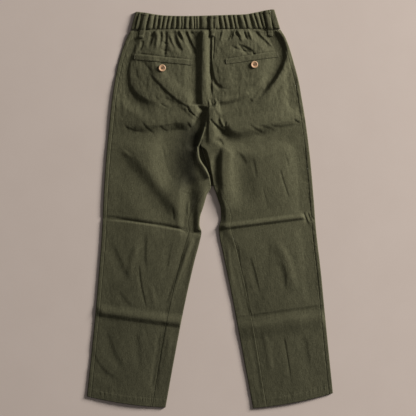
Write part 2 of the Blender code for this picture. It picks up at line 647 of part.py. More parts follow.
def build_button(name, x, y, cloth):
    """Turned disc with a rim and a dish, and four holes through the dish."""
    bottom = highest(cloth, x, y, BUTTON_REACH, BUTTON_REACH) + LAYER_GAP
    mesh = bmesh.new()
    outline = [mesh.verts.new((radius * MM, 0, height * MM)) for radius, height in BUTTON_PROFILE]
    edges = [mesh.edges.new(pair) for pair in zip(outline[:-1], outline[1:])]
    bmesh.ops.spin(mesh, geom=outline + edges, cent=(0, 0, 0), axis=(0, 0, 1),
                   angle=2 * math.pi, steps=BUTTON_SIDES, use_merge=True)
    bmesh.ops.remove_doubles(mesh, verts=mesh.verts[:], dist=0.01 * MM)
    bmesh.ops.recalc_face_normals(mesh, faces=mesh.faces[:])
    button = new_object(name, mesh, new_material(name + "_horn", HORN, 0.35))
    button.location = (x * MM, y * MM, bottom * MM)

    drill = bmesh.new()
    for k in range(4):
        angle = math.pi / 4 + k * math.pi / 2
        place = bmesh.ops.create_cone(drill, cap_ends=True, segments=HOLE_SIDES,
                                      radius1=HOLE_RADIUS * MM, radius2=HOLE_RADIUS * MM,
                                      depth=12 * MM)
        bmesh.ops.translate(drill, verts=place["verts"],
                            vec=(HOLE_RING * math.cos(angle) * MM,
                                 HOLE_RING * math.sin(angle) * MM, 0))
    cutter = new_object(name + "_holes", drill, button.data.materials[0])
    cutter.location = button.location
    cutter.hide_render = True
    cutter.display_type = "WIRE"
    cut = button.modifiers.new("holes", "BOOLEAN")
    cut.operation = "DIFFERENCE"
    cut.object = cutter


def build():
    for obj in list(bpy.data.objects):
        bpy.data.objects.remove(obj)
    left = Leg("left", -1, LEFT_OUTER, LEFT_INNER, LEFT_INSEAM_INSET, LEFT_ACROSS, LEFT_WELT,
               (1, 2))
    right = Leg("right", 1, RIGHT_OUTER, RIGHT_INNER, RIGHT_INSEAM_INSET, RIGHT_ACROSS,
                RIGHT_WELT, (4, 3))
    cloth = []
    for leg in (left, right):
        panel = build_back_panel(leg)
        build_front_panel(leg)
        build_welt(leg, panel)
        cloth.append(panel.reshape(-1, 3))
    cloth.append(build_waistband_back((left, right)).reshape(-1, 3))
    build_waistband_front((left, right))
    cloth = np.concatenate(cloth)
    for row in BELT_LOOPS:
        build_belt_loop(*row, cloth)
    for row in BUTTONS:
        build_button(*row, cloth)


build()
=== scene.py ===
"""Olive linen trousers laid face down on a pale surface, seen from straight above.

+X is to the right of the back view, +Y towards the waist, +Z up. Tables are in millimetres.
"""
import math

import bpy
import numpy as np
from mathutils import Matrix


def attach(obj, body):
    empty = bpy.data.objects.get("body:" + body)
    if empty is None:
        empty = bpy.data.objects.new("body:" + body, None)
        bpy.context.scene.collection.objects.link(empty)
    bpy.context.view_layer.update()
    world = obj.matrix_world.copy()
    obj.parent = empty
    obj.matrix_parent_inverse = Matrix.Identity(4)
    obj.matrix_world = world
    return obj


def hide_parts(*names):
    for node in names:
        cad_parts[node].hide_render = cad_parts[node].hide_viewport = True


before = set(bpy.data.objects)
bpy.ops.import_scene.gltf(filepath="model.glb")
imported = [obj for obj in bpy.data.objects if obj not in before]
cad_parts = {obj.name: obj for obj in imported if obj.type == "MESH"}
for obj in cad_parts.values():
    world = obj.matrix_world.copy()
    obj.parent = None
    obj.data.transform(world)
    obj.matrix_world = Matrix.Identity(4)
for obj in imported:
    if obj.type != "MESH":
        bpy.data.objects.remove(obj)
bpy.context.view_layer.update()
MM = 0.001

# ---------------- outline of the garment, in mm
LEFT_OUTER = (
    # y, x
    (447, -198), (426, -209), (396, -220), (366, -229), (321, -238), (276, -245), (201, -253),
    (126, -260), (36, -266), (-54, -270), (-159, -278), (-264, -287), (-354, -296), (-469, -308),
)
RIGHT_OUTER = (
    # y, x
    (450, 176), (426, 190), (396, 201), (366, 210), (321, 222), (276, 230), (201, 242),
    (126, 251), (36, 259), (-54, 266), (-159, 278), (-264, 288), (-354, 297), (-461, 308),
)
LEFT_INNER = (
    # y, x
    (448, 4), (372, 5), (310, 5), (272, -2), (242, -8), (212, -13), (187, -11), (172, -16),
    (160, -25), (147, -27), (132, -26), (116, -19), (100, -8), (82, -1), (56, 3), (36, -7),
    (6, -16), (-24, -25), (-40, -26), (-58, -21), (-84, -26), (-129, -38), (-249, -65),
    (-369, -88), (-497, -111),
)
RIGHT_INNER = (
    # y, x
    (448, 4), (372, 5), (310, 5), (272, -2), (242, -8), (212, -13), (187, -11), (172, -16),
    (160, -25), (147, -11), (132, -6), (116, -2), (100, 1), (82, 5), (56, 9), (42, 14),
    (21, 21), (0, 27), (-24, 28), (-50, 22), (-70, 24), (-99, 30), (-204, 52), (-324, 75),
    (-499, 108),
)
FRONT_MEETING = (
    # y, x: where the two front panels meet below the slot
    (160, -25), (147, -18), (132, -13), (116, -8), (100, -3), (82, 2), (56, 6),
)
LEFT_INSEAM_INSET = (
    # y, inset
    (56, 7), (36, 12), (6, 21), (-40, 29), (-100, 34), (-300, 36), (-497, 34),
)
RIGHT_INSEAM_INSET = (
    # y, inset
    (56, 7), (36, 12), (6, 20), (-40, 28), (-100, 35), (-300, 38), (-499, 34),
)
BAND_TOP = (
    # x, y
    (-186, 493), (-168, 492), (-138, 487), (-109, 484), (-65, 483), (-5, 484), (55, 486),
    (86, 487), (116, 492), (146, 498), (161, 499),
)
BAND_TOP_ENDS, BAND_FOOT_ENDS = (-186, 161), (-198, 176)
SIDE_SEAM_INSET = 10
FORK_Y, CROTCH_Y = 160, 56
WAIST_Y = 448

LINES = (
    # line, left outer y, left inner y, right inner y, right outer y, sag, rows to the next line
    ("waist seam", 447, 448, 448, 449, 1.5, 36),
    ("pocket mouth", 391, 368, 368, 399, 0, 8),
    ("welt foot", 376, 354, 354, 384, 0, 108),
    ("fork", 182, 160, 160, 187, 0, 54),
    ("crotch", 90, 56, 56, 82, 0, 44),
    ("above knee crease", -12, -49, -39, -10, 0, 10),
    ("knee crease", -21, -58, -48, -19, 0, 10),
    ("below knee crease", -30, -67, -57, -28, 0, 70),
    ("above shin crease", -250, -283, -266, -233, 0, 10),
    ("shin crease", -259, -292, -275, -242, 0, 10),
    ("below shin crease", -268, -301, -284, -251, 0, 56),
    ("hem top", -437, -467, -467, -429, -5, 18),
    ("hem", -469, -497, -499, -461, -5, 0),
)

FULLNESS = (
    # y, height at the edge, height in the middle
    (448, 4.4, 8.0), (400, 4.0, 10.5), (300, 4.0, 12.0), (200, 4.0, 11.5), (120, 4.0, 10.5),
    (60, 4.0, 9.5), (-40, 3.8, 7.4), (-275, 3.8, 6.2), (-500, 3.8, 5.4),
)

BULGE_WIDTH = 100

# Soft folds have a rounded crest, creases a sharp one
FOLDS = (
    # start x, y, through x, y, end x, y, width right or up, width left or down, height,
    # fade in, fade out as shares of the length (0.3 each where not given)
    # centre back
    (-14, 462, -15, 357, -14, 252, 20, 12.5, 4.6, 0.12, 0.08),
    (-30, 462, -34, 352, -31, 257, 13.8, 32.5, -5.2, 0.12, 0.05),
    (1, 467, 2, 357, 4, 277, 4.5, 15, -3.4, 0.05, 0.2),
    (4, 372, 8, 325, 35, 295, 6.5, 8.8, -3),
    (-10, 277, -1, 265, -2, 252, 5, 5, 1.6, 0.2, 0.2),
    (10, 277, 15, 267, 13, 252, 4.5, 3.8, 1.4),
    (-2, 255, 1, 222, -3, 157, 22.5, 7.5, 7, 0.12, 0.3),
    (-12, 255, -19, 227, -32, 187, 11.5, 22.5, -8.5, 0.06, 0.3),
    (10, 262, 18, 250, 24, 230, 7.5, 7.5, 2.4, 0.2, 0.3),
    # left seat diagonal
    (-157, 355, -104, 296, -50, 256, 35, 7.5, 4.6, 0.3, 0.02),
    (-51, 260, -44, 243, -22, 226, 22.5, 5, 5, 0.02, 0.02),
    (-59, 257, -51, 240, -22, 221, 3, 8, 1.6, 0.2, 0.02),
    (-80, 267, -65, 256, -54, 250, 3.5, 10, 1.4, 0.4, 0.1),
    (-117, 282, -100, 270, -75, 262, 6.2, 15, -1.2),
    (-50, 282, -57, 265, -47, 255, 5, 4, 1.5, 0.4, 0.2),
    # left hip
    (-178, 437, -211, 367, -207, 302, 16.2, 25, -4, 0.25, 0.15),
    (-210, 322, -190, 277, -125, 247, 17.5, 35, -5.6, 0.25, 0.3),
    (-192, 452, -202, 422, -217, 382, 7.5, 10, 2, 0.2, 0.3),
    (-150, 372, -130, 352, -110, 312, 15, 20, 1.8),
    # right hip
    (130, 462, 180, 382, 103, 265, 11, 37.5, -6.4, 0.1, 0.2),
    (145, 460, 194, 380, 115, 257, 17.5, 11.2, 4.6, 0.15, 0.2),
    (130, 312, 90, 274, 20, 258, 11.5, 25, -3, 0.25, 0.04),
    (145, 340, 93, 291, 13, 265, 11.2, 11.5, 2.8, 0.2, 0.15),
    (200, 312, 205, 272, 215, 227, 15, 20, -1.8),
    (28, 62, 29, 22, 35, -23, 45, 7.5, 2.6, 0.35, 0.3),
    (21, 268, 16, 262, 19, 255, 3.2, 3.8, 1.6, 0.2, 0.2),
    (208, 357, 206, 292, 203, 242, 13.8, 25, -3),
    (218, 297, 220, 260, 225, 227, 5, 10, -1.2),
    # cross bands
    (-255, 182, -150, 187, -17, 194, 23.8, 45, -5.4, 0.45, 0.05),
    (-110, 207, -60, 197, -17, 205, 22.5, 30, -3.2, 0.3, 0.1),
    (-245, 232, -150, 216, -25, 217, 35, 22.5, 1.8, 0.5, 0.15),
    (15, 205, 58, 170, 115, 171, 27.5, 32.5, -7.6, 0.25, 0.3),
    (75, 167, 155, 185, 248, 202, 30, 50, -8.2, 0.25, 0.05),
    (40, 197, 100, 205, 248, 227, 35, 25, 3.4, 0.2, 0.1),
    (24, 230, 29, 216, 36, 204, 5.5, 3.5, 2.6, 0.3, 0.1),
    (38, 202, 43, 212, 46, 220, 3.8, 4, 1.4, 0.2, 0.3),
    # crotch hollow and left thigh
    (-14, 242, -27, 185, -42, 140, 10, 30, -9, 0.1, 0.25),
    (-55, 202, -100, 127, -70, 52, 67.5, 55, -8, 0.25, 0.2),
    (-44, 92, -56, 10, -50, -73, 27.5, 25, -5.8, 0.2, 0.15),
    (-5, 77, -21, 0, -28, -63, 10, 20, 4.6, 0.3, 0.1),
    (-245, 140, -160, 47, -85, -58, 37.5, 55, -2.8, 0.3, 0.2),
    (-216, 169, -131, 76, -55, -29, 50, 35, 3.2, 0.3, 0.2),
    (-220, 147, -207, 137, -192, 130, 7.5, 10, 1),
    (-52, 27, -55, -8, -50, -43, 5, 5, 1.1),
    # right thigh
    (23, 147, 13, 102, 20, 42, 13.8, 12.5, -3, 0.35, 0.3),
    (41, 165, 35, 102, 40, 10, 27.5, 15, 6.6, 0.3, 0.35),
    (-7, 155, 13, 181, 43, 167, 12.5, 11.2, 3),
    (18, 175, 28, 167, 34, 152, 5, 7.5, -2),
    (65, 162, 80, 82, 75, -8, 45, 27.5, -3.6),
    (55, 147, 78, 130, 90, 102, 7.5, 15, -1.3),
    # right side seam
    (225, 205, 234, 117, 246, -13, 10, 45, -3.4, 0.05, 0.05),
    # pressed creases
    (240, -19, 130, -33, 15, -48, 11, 8.5, 5, 0.03, 0.12),
    (-290, -254, -200, -267, -60, -286, 22.5, 15.5, 5, 0.16, 0.04),
    (290, -245, 175, -260, 60, -278, 8, 25, -1.6, 0.1, 0.1),
    (290, -268, 175, -283, 65, -304, 22.5, 35, 4.4, 0.05, 0.2),
    # left lower leg
    (-32, -68, -52, -133, -67, -218, 8, 12.5, -1.1, 0.1, 0.2),
    (-52, -48, -76, -143, -115, -273, 8, 20, -0.9, 0.06, 0.05),
    (-42, -73, -72, -148, -105, -243, 8.8, 7.5, 1.5, 0.1, 0.1),
    (-110, -283, -125, -353, -136, -458, 8, 20, -1.2, 0.06, 0.06),
    (-125, -303, -132, -368, -145, -448, 3.8, 10, -0.9, 0.2, 0.1),
    (-180, -88, -195, -133, -200, -178, 12.5, 12.5, 1.4, 0.2, 0.3),
    (-160, -53, -164, -103, -162, -158, 7.5, 22.5, -1.4),
    (-250, -78, -230, -133, -202, -188, 12.5, 25, -1.3),
    (-260, -298, -247, -353, -215, -413, 12.5, 25, -1.2),
    (-295, -348, -277, -398, -215, -438, 10, 22.5, -1.3, 0.2, 0.3),
    (-95, -78, -105, -118, -110, -158, 7.5, 17.5, -1),
    (-230, -198, -215, -228, -190, -250, 7.5, 17.5, -0.9),
    (-150, -178, -142, -218, -135, -253, 7.5, 10, 0.8),
    (-187, -303, -180, -353, -175, -413, 10, 20, -0.9),
    (-100, -303, -105, -353, -117, -408, 10, 10, 0.9),
    # right lower leg
    (83, -163, 101, -288, 128, -463, 6, 15, -0.7, 0.06, 0.05),
    (68, -88, 81, -188, 103, -273, 6, 15, -0.8, 0.1, 0.1),
    (58, -143, 76, -213, 88, -268, 5.5, 12.5, -0.7, 0.2, 0.1),
    (98, -118, 113, -168, 123, -218, 5, 15, -0.9, 0.2, 0.3),
    (175, -133, 186, -163, 185, -208, 6, 17.5, -1),
    (160, -73, 193, -140, 213, -218, 17.5, 22.5, 2, 0.2, 0.25),
    (246, -33, 255, -123, 268, -238, 12.5, 40, -2.8, 0.1, 0.2),
    (130, -303, 145, -353, 155, -428, 10, 12.5, 0.9),
    (225, -303, 240, -353, 245, -408, 10, 20, -1),
    (140, -68, 145, -118, 140, -178, 10, 20, -0.9),
    (43, -78, 48, -133, 55, -188, 7.5, 7.5, 1),
    # fans under the waistband
    (-90, 450, -82, 415, -65, 387, 6.5, 11.5, -3.8, 0.1, 0.4),
    (-82, 447, -70, 427, -52, 412, 5, 10, -2.8, 0.1, 0.4),
    (-62, 450, -47, 410, -27, 382, 6, 12.5, -4.3, 0.1, 0.35),
    (-50, 450, -42, 435, -30, 422, 4.5, 8.8, -2.9, 0.1, 0.4),
    (-110, 450, -110, 412, -115, 372, 5, 8.5, -2.9, 0.1, 0.2),
    (-125, 447, -122, 427, -130, 402, 4.5, 7.5, -2.3, 0.1, 0.3),
    (-105, 435, -95, 412, -85, 397, 4, 7.5, -1.7, 0.2, 0.3),
    (-140, 447, -145, 427, -155, 397, 5, 10, -2.9, 0.1, 0.4),
    (-167, 422, -170, 407, -177, 392, 4, 7.5, -1.7, 0.2, 0.3),
    (-135, 447, -132, 422, -137, 392, 7.5, 7.5, 2.3, 0.1, 0.3),
    (-75, 447, -70, 432, -55, 402, 5, 5, 2.3, 0.1, 0.3),
    (48, 462, 51, 437, 30, 412, 6, 13.8, -3.8, 0.05, 0.35),
    (63, 447, 70, 436, 80, 425, 3.8, 8.5, -2.6, 0.15, 0.3),
    (103, 455, 110, 444, 130, 442, 4, 10, -2.9, 0.1, 0.3),
    (113, 442, 135, 420, 158, 397, 6.5, 17.5, -3.5, 0.2, 0.3),
    (65, 412, 93, 401, 115, 387, 4.5, 11.2, -2.6),
    (35, 455, 30, 432, 25, 412, 5, 5, 2, 0.1, 0.4),
    (70, 452, 75, 432, 85, 412, 6, 5, 2.6, 0.1, 0.4),
    (95, 452, 100, 437, 108, 417, 5, 5, 2.2, 0.1, 0.4),
    (35, 372, 40, 332, 55, 282, 20, 25, 2),
)
CREASES = (
    # start x, y, through x, y, end x, y, width right or up, width left or down, height,
    # fade in, fade out as shares of the length (0.3 each where not given)
    # centre back
    (11, 437, 10, 402, 7, 367, 3.5, 4.5, -1.6, 0.2, 0.2),
    (23, 312, 34, 301, 53, 300, 3.5, 7.5, -1, 0.2, 0.3),
    (0, 280, 3, 267, 8, 257, 3, 4.5, -1.2),
    (-7, 272, -5, 265, -7, 257, 2.5, 4, -1.3),
    (-1, 227, 3, 217, 6, 205, 2.8, 4, -1.4),
    (-3, 220, 0, 212, 0, 202, 2.8, 4, -1.1),
    (15, 260, 21, 250, 23, 237, 3.5, 7.5, -1.4, 0.3, 0.4),
    # pocket mouths
    (-178, 389, -112, 380, -46, 374, 2.5, 4, -1.6, 0.02, 0.02),
    (40, 374, 104, 385, 168, 396, 2.5, 4, -1.6, 0.02, 0.02),
    # left seat diagonal
    (-137, 282, -132, 276, -127, 270, 3.2, 6.5, -1),
    (-125, 266, -115, 258, -105, 254, 3.2, 7.5, -1.1),
    # left hip
    (-172, 372, -156, 355, -137, 327, 5.5, 15, -1.1, 0.3, 0.2),
    (-190, 422, -197, 405, -207, 387, 4, 7.5, -1.3),
    # cross bands
    (-217, 212, -190, 196, -150, 195, 5, 15, -1.4, 0.2, 0.3),
    (-172, 222, -157, 202, -135, 185, 5, 12.5, -1.4),
    (-145, 200, -112, 207, -70, 215, 5, 15, -1.2),
    (-130, 212, -117, 200, -100, 192, 4, 10, -1.1),
    (-60, 222, -47, 202, -32, 190, 6, 12.5, -2.2, 0.3, 0.2),
    (1, 226, 15, 208, 40, 190, 5.5, 17.5, -4.6, 0.08, 0.15),
    (93, 215, 113, 200, 140, 185, 5.5, 12.5, -1.6),
    (105, 192, 130, 182, 155, 180, 4.5, 11.2, -1.3),
    (110, 210, 135, 205, 165, 195, 4.5, 11.2, -1.3),
    (145, 212, 175, 205, 210, 212, 5, 12.5, -1.4),
    (208, 225, 225, 214, 245, 207, 5, 10, -2.2, 0.2, 0.1),
    # crotch hollow and left thigh
    (-11, 207, -20, 182, -30, 155, 4.5, 15, 6, 0.2, 0.05),
    (-31, 160, -29, 132, -19, 109, 4.5, 20, 8, 0.1, 0.15),
    (-22, 115, -11, 97, 1, 77, 4.5, 20, 8, 0.15, 0.1),
    (-75, 47, -62, 41, -47, 37, 3, 7, -1.1, 0.3, 0.2),
    (-120, 157, -115, 140, -112, 122, 3.8, 7.5, -0.9),
    (-95, 7, -91, -13, -91, -33, 4.5, 10, -1.1, 0.3, 0.2),
    # right thigh
    (105, 132, 113, 102, 115, 77, 4, 10, -1),
    (175, 102, 186, 62, 203, 15, 3.2, 8.8, -1.2, 0.2, 0.3),
    (130, 60, 138, 32, 145, 2, 3.2, 7.5, -0.7),
    (185, 147, 193, 122, 198, 95, 3.8, 7.5, -0.7),
    # right side seam
    (222, 197, 216, 170, 228, 140, 4.5, 10, -1.5, 0.2, 0.2),
    (228, 142, 235, 130, 245, 122, 3.2, 7.5, -1.3, 0.3, 0.2),
    (225, 120, 233, 110, 243, 102, 3.2, 7.5, -1.1, 0.3, 0.2),
    (234, -8, 240, -25, 250, -45, 4.5, 8.5, -3, 0.1, 0.2),
    (244, -8, 249, -20, 252, -33, 3.2, 6.2, -2.2, 0.2, 0.2),
    (238, -35, 250, -49, 268, -58, 4.5, 8.5, -2.4, 0.2, 0.1),
    (253, -13, 258, -23, 263, -30, 3, 6.2, -1.4, 0.3, 0.2),
    # pressed creases
    (-277, -22, -150, -37, -20, -62, 10.5, 6.5, -4.6, 0.06, 0.01),
    # left lower leg
    (-177, -133, -172, -188, -157, -253, 3.2, 12.5, -1.2, 0.2, 0.2),
    # right lower leg
    (184, -318, 193, -363, 204, -438, 3.2, 12.5, -1.1, 0.2, 0.2),
    # fans under the waistband
    (-122, 422, -112, 415, -100, 412, 3, 5.5, -1.6),
    (-125, 402, -115, 397, -100, 397, 3, 5.5, -1.6),
    (-157, 447, -147, 440, -150, 427, 3, 5, -2, 0.2, 0.2),
    (59, 462, 58, 440, 50, 420, 3.5, 7.5, -3.5, 0.05, 0.3),
    (84, 455, 88, 437, 95, 420, 4, 8, -3.5, 0.08, 0.3),
    (48, 410, 75, 398, 105, 392, 4.5, 10, -2.3, 0.3, 0.2),
    (70, 415, 85, 396, 98, 385, 3.8, 7.5, -2.5, 0.3, 0.2),
    (105, 392, 110, 387, 113, 382, 3.8, 5, -2.6),
)

# Painted shade: the cloth colour is darkened by these shares in the crotch hollow and on the inner
# thighs, where shade falls
HOLLOW_SHADE_ROWS = (
    # start x, y, through x, y, end x, y, width right or up, left or down, share, fades
    (-15, 240, -48, 122, -32, 57, 24, 68, 0.62, 0.25, 0.2),
    (20, 157, 19, 97, 23, 42, 10, 10, 0.25, 0.3, 0.3),
    (-38, 62, -40, -3, -36, -63, 12, 12, 0.45, 0.3, 0.1),
)
GATHER_VALLEYS = (
    -170, -155, -141, -131, -119, -107, -96, -85, -72, -64, -52, -41, -34, -26,
    -4, 10, 23, 36, 48, 60, 70, 88, 103, 115, 128, 139, 151,
)


# ---------------- curves and noise
def curve_at(rows, at, column=1):
    """Smooth curve through a table: a cubic between neighbouring rows that never overshoots."""
    table = np.array(sorted(rows), dtype=float)
    known, value = table[:, 0], table[:, column]
    step = np.diff(known)
    rise = np.diff(value) / step
    same_way = rise[:-1] * rise[1:] > 0
    blend = 2 * rise[:-1] * rise[1:] / np.where(same_way, rise[:-1] + rise[1:], 1)
    slope = np.concatenate(([rise[0]], np.where(same_way, blend, 0), [rise[-1]]))
    at = np.clip(np.asarray(at, dtype=float), known[0], known[-1])
    i = np.clip(np.searchsorted(known, at) - 1, 0, len(step) - 1)
    t = (at - known[i]) / step[i]
    return (value[i] * (1 + 2 * t) * (1 - t) ** 2 + value[i + 1] * (3 - 2 * t) * t ** 2
            + step[i] * (slope[i] * t * (1 - t) ** 2 - slope[i + 1] * t ** 2 * (1 - t)))


def soft_step(t):
    """0 below 0, 1 above 1, and a smooth rise between."""
    t = np.clip(t, 0, 1)
    return t * t * (3 - 2 * t)


def noise(x, y, cell_x, cell_y, seed):
    """Smooth noise from -1 to 1: random values on a lattice, blended softly between its points."""
    u, v = x / cell_x, y / cell_y
    i, j = np.floor(u).astype(int), np.floor(v).astype(int)
    a, b = soft_step(u - i), soft_step(v - j)
    lattice = np.random.default_rng(seed).uniform(-1, 1, (256, 256))

    def at(p, q):
        return lattice[p % 256, q % 256]

    low = at(i, j) * (1 - a) + at(i + 1, j) * a
    high = at(i, j + 1) * (1 - a) + at(i + 1, j + 1) * a
    return low * (1 - b) + high * b


LIT_SIDE = np.array((0.84, 0.54))
FOLD_STEPS = 20


def fold_rise(x, y, row, sharp=False):
    """Rise of one fold: a ridge or trough along a parabola through three points.

    Its flank falls to nothing over one width on its right or upper side and another on its left
    or lower side, as a rounded or a sharp crest, and it fades in and out along its length.
    """
    start, through, end = (np.array(row[k:k + 2], float) for k in (0, 2, 4))
    wide_right, wide_left, height = row[6:9]
    fade_in, fade_out = row[9:] or (0.3, 0.3)
    bend = 2 * through - (start + end) / 2
    t = np.linspace(0, 1, FOLD_STEPS + 1)[:, None]
    path = (1 - t) ** 2 * start + 2 * t * (1 - t) * bend + t ** 2 * end
    reach = max(wide_right, wide_left)
    low, high = path.min(0) - reach, path.max(0) + reach
    near = (x > low[0]) & (x < high[0]) & (y > low[1]) & (y < high[1])
    rise = np.zeros(x.shape)
    if not near.any():
        return rise
    point = np.stack((x[near], y[near]), -1)
    run = np.diff(path, axis=0)
    gap = point[:, None] - path[:-1]
    along = np.clip((gap * run).sum(-1) / (run ** 2).sum(-1), 0, 1)
    gap -= along[..., None] * run
    far = (gap ** 2).sum(-1)
    k = far.argmin(1)
    nearest = np.arange(len(point)), k
    share = (k + along[nearest]) / FOLD_STEPS
    width = np.where(gap[nearest] @ LIT_SIDE > 0, wide_right, wide_left)
    q = np.minimum(np.sqrt(far[nearest]) / width, 1)
    profile = (1 - q) ** 2 if sharp else (1 - q ** 2) ** 2
    rise[near] = (height * profile * soft_step(share / fade_in)
                  * soft_step((1 - share) / fade_out))
    return rise


def edge_distances(x, y):
    """Distances to the outer and inner edge of the leg that a point is in, and that leg."""
    left_inner, right_inner = curve_at(LEFT_INNER, y), curve_at(RIGHT_INNER, y)
    left = x < (left_inner + right_inner) / 2
    outer = np.where(left, x - curve_at(LEFT_OUTER, y), curve_at(RIGHT_OUTER, y) - x)
    inner = np.where(left, left_inner - x, x - right_inner)
    return outer, inner, left


LEFT_HEM, RIGHT_HEM = ((-308, -469), (-111, -497)), ((308, -461), (108, -499))
HEM_SAG = 5


def hem_line(x):
    """y of the bottom of the leg at x: a line between its two corners, with a sag."""
    def line(corner, other):
        u = (x - corner[0]) / (other[0] - corner[0])
        return corner[1] + u * (other[1] - corner[1]) - 4 * HEM_SAG * u * (1 - u)

    return np.where(x < 0, line(*LEFT_HEM), line(*RIGHT_HEM))


def crumple(x, y):
    """Fine unevenness of washed linen: soft lumps, and creases where ridged noise turns over."""
    seat = soft_step((y - 150) / 150)
    lumps = (0.3 + 0.2 * seat) * noise(x, y, 28, 60, 3) + (0.13 + 0.3 * seat) * noise(x, y, 8, 22, 1)
    lumps += (0.07 + 0.3 * seat) * noise(x, y, 4.5, 8, 2)
    slant = noise(x * 0.95 + y * 0.2, y * 0.95 - x * 0.2, 11, 46, 4)
    patch = soft_step(0.4 + 1.5 * noise(x, y, 70, 70, 5))
    return lumps - (0.2 + 0.14 * seat) * patch * (1 - np.minimum(abs(slant) * 3, 1)) ** 2


SETTLED, SETTLED_RISE = 12, 4
THINNEST, LOWEST_TOP = 3.2, 2.6
SEAM_WIDTH, PUCKER_WIDTH = 1.3, 5
HEM_STITCHES = 22


def cloth_height(x, y):
    """Height of the garment's upper surface: its fullness, with folds, rims, seams and crumple."""
    outer, inner, left = edge_distances(x, y)
    parted = soft_step((CROTCH_Y + 10 - y) / 60)
    edge, middle = curve_at(FULLNESS, y, 1), curve_at(FULLNESS, y, 2)
    narrow = np.where(left, 35, 14)
    inner_width = narrow + (BULGE_WIDTH - narrow) * soft_step((-20 - y) / 160)
    bulge = soft_step(outer / BULGE_WIDTH) * (1 - parted * (1 - soft_step(inner / inner_width)))
    folds = (sum(fold_rise(x, y, row) for row in FOLDS)
             + sum(fold_rise(x, y, row, sharp=True) for row in CREASES))
    below_seam = WAIST_Y - y
    height = edge + (middle - edge) * bulge
    height += folds * (0.35 + 0.65 * soft_step(below_seam / 10))
    height -= 1.6 * (1 - soft_step(below_seam / 5))
    over = np.maximum(height - SETTLED, 0)
    height = np.minimum(height, SETTLED) + SETTLED_RISE * np.tanh(over / SETTLED_RISE)
    height = np.maximum(height, THINNEST) - 0.6 * np.tanh(np.maximum(THINNEST - height, 0) / 2)
    height += crumple(x, y)
    # seams: side seam and inseam as narrow valleys with puckers across them
    pucker = noise(x, y, 9, 4.5, 7)
    seam = np.exp(-((outer - SIDE_SEAM_INSET) / SEAM_WIDTH) ** 2)
    height -= 0.35 * seam * (1 + 0.5 * pucker)
    height += 0.35 * pucker * np.exp(-((outer - SIDE_SEAM_INSET) / PUCKER_WIDTH) ** 2)
    inset = np.where(left, curve_at(LEFT_INSEAM_INSET, y), curve_at(RIGHT_INSEAM_INSET, y))
    inseam = np.exp(-((inner - inset) / SEAM_WIDTH) ** 2) * (y < CROTCH_Y)
    height -= 0.2 * inseam * (1 + 0.5 * pucker)
    height += 0.2 * pucker * np.exp(-((inner - inset) / PUCKER_WIDTH) ** 2) * (y < CROTCH_Y)
    # hem: a thicker band with a stitched groove and puckers at its top
    hem = y - hem_line(x)
    short = noise(x, y, 3.2, 30, 8)
    height += 0.6 * soft_step((25 - hem) / 2) * (hem < 40)
    height -= (0.8 + 0.3 * short) * np.exp(-((hem - HEM_STITCHES) / SEAM_WIDTH) ** 2)
    height += 0.45 * short * np.exp(-((hem - 19) / 8) ** 2)
    return np.maximum(height, LOWEST_TOP)


# ---------------- meshes
LOWEST_INSIDE = 1.7


def make_object(name, points, faces, coords=None, crest=None):
    """A mesh object from an array of points in mm and a list of face arrays, smooth shaded."""
    mesh = bpy.data.meshes.new(name)
    points = np.asarray(points, float) * MM
    faces = [np.asarray(f) for f in faces if len(f)]
    loops = np.concatenate([f.ravel() for f in faces])
    sizes = np.concatenate([np.full(len(f), f.shape[1]) for f in faces])
    mesh.vertices.add(len(points))
    mesh.vertices.foreach_set("co", points.ravel())
    mesh.loops.add(len(loops))
    mesh.loops.foreach_set("vertex_index", loops)
    mesh.polygons.add(len(sizes))
    mesh.polygons.foreach_set("loop_start", np.concatenate(([0], np.cumsum(sizes)[:-1])))
    mesh.update(calc_edges=True)
    mesh.polygons.foreach_set("use_smooth", np.ones(len(sizes), dtype=bool))
    if coords is not None:
        layer = mesh.uv_layers.new(name="cloth")
        layer.data.foreach_set("uv", np.asarray(coords, float)[loops].ravel())
    if crest is not None:
        kept = mesh.attributes.new("crest", "FLOAT", "POINT")
        kept.data.foreach_set("value", np.asarray(crest, float).ravel())
    mesh.validate()
    obj = bpy.data.objects.new(name, mesh)
    bpy.context.scene.collection.objects.link(obj)
    return obj


def grid_faces(rows, columns, first=0, flip=False, keep=None):
    """Quads of a grid of points numbered row by row."""
    index = np.arange(rows * columns).reshape(rows, columns) + first
    quads = np.stack((index[:-1, :-1], index[1:, :-1], index[1:, 1:], index[:-1, 1:]), -1)
    if keep is not None:
        quads = quads[keep]
    quads = quads.reshape(-1, 4)
    return quads[:, ::-1] if flip else quads


def shell(name, upper, lower, coords, keep=None, crest=None):
    """A closed thin body between two grids of points; faces are left out where keep is false."""
    rows, columns = upper.shape[:2]
    if keep is None:
        keep = np.ones((rows - 1, columns - 1), dtype=bool)
    count = rows * columns
    top = grid_faces(rows, columns, keep=keep)
    low = grid_faces(rows, columns, first=count, flip=True, keep=keep)
    ends = np.concatenate([top[:, [k, (k + 1) % 4]] for k in range(4)])
    keys = ends[:, 0].astype(np.int64) * count + ends[:, 1]
    back = ends[:, 1].astype(np.int64) * count + ends[:, 0]
    rim = ends[~np.isin(keys, back)]
    side = np.stack((rim[:, 1], rim[:, 0], rim[:, 0] + count, rim[:, 1] + count), -1)
    points = np.concatenate((upper.reshape(-1, 3), lower.reshape(-1, 3)))
    faces = np.concatenate((top, low, side))
    used, faces = np.unique(faces, return_inverse=True)
    faces = faces.reshape(-1, 4)
    both = np.concatenate((coords.reshape(-1, 2),) * 2)
    tone = np.zeros(len(points)) if crest is None else np.concatenate((crest.ravel(),) * 2)
    return make_object(name, points[used], [faces], both[used], tone[used])


def windows(z, reach):
    """Stack of copies of a grid, shifted by up to so many rows and columns each way."""
    rows, columns = z.shape
    padded = np.pad(z, reach, mode="edge")
    size = range(2 * reach + 1)
    return np.stack([padded[a:a + rows, b:b + columns] for a in size for b in size])


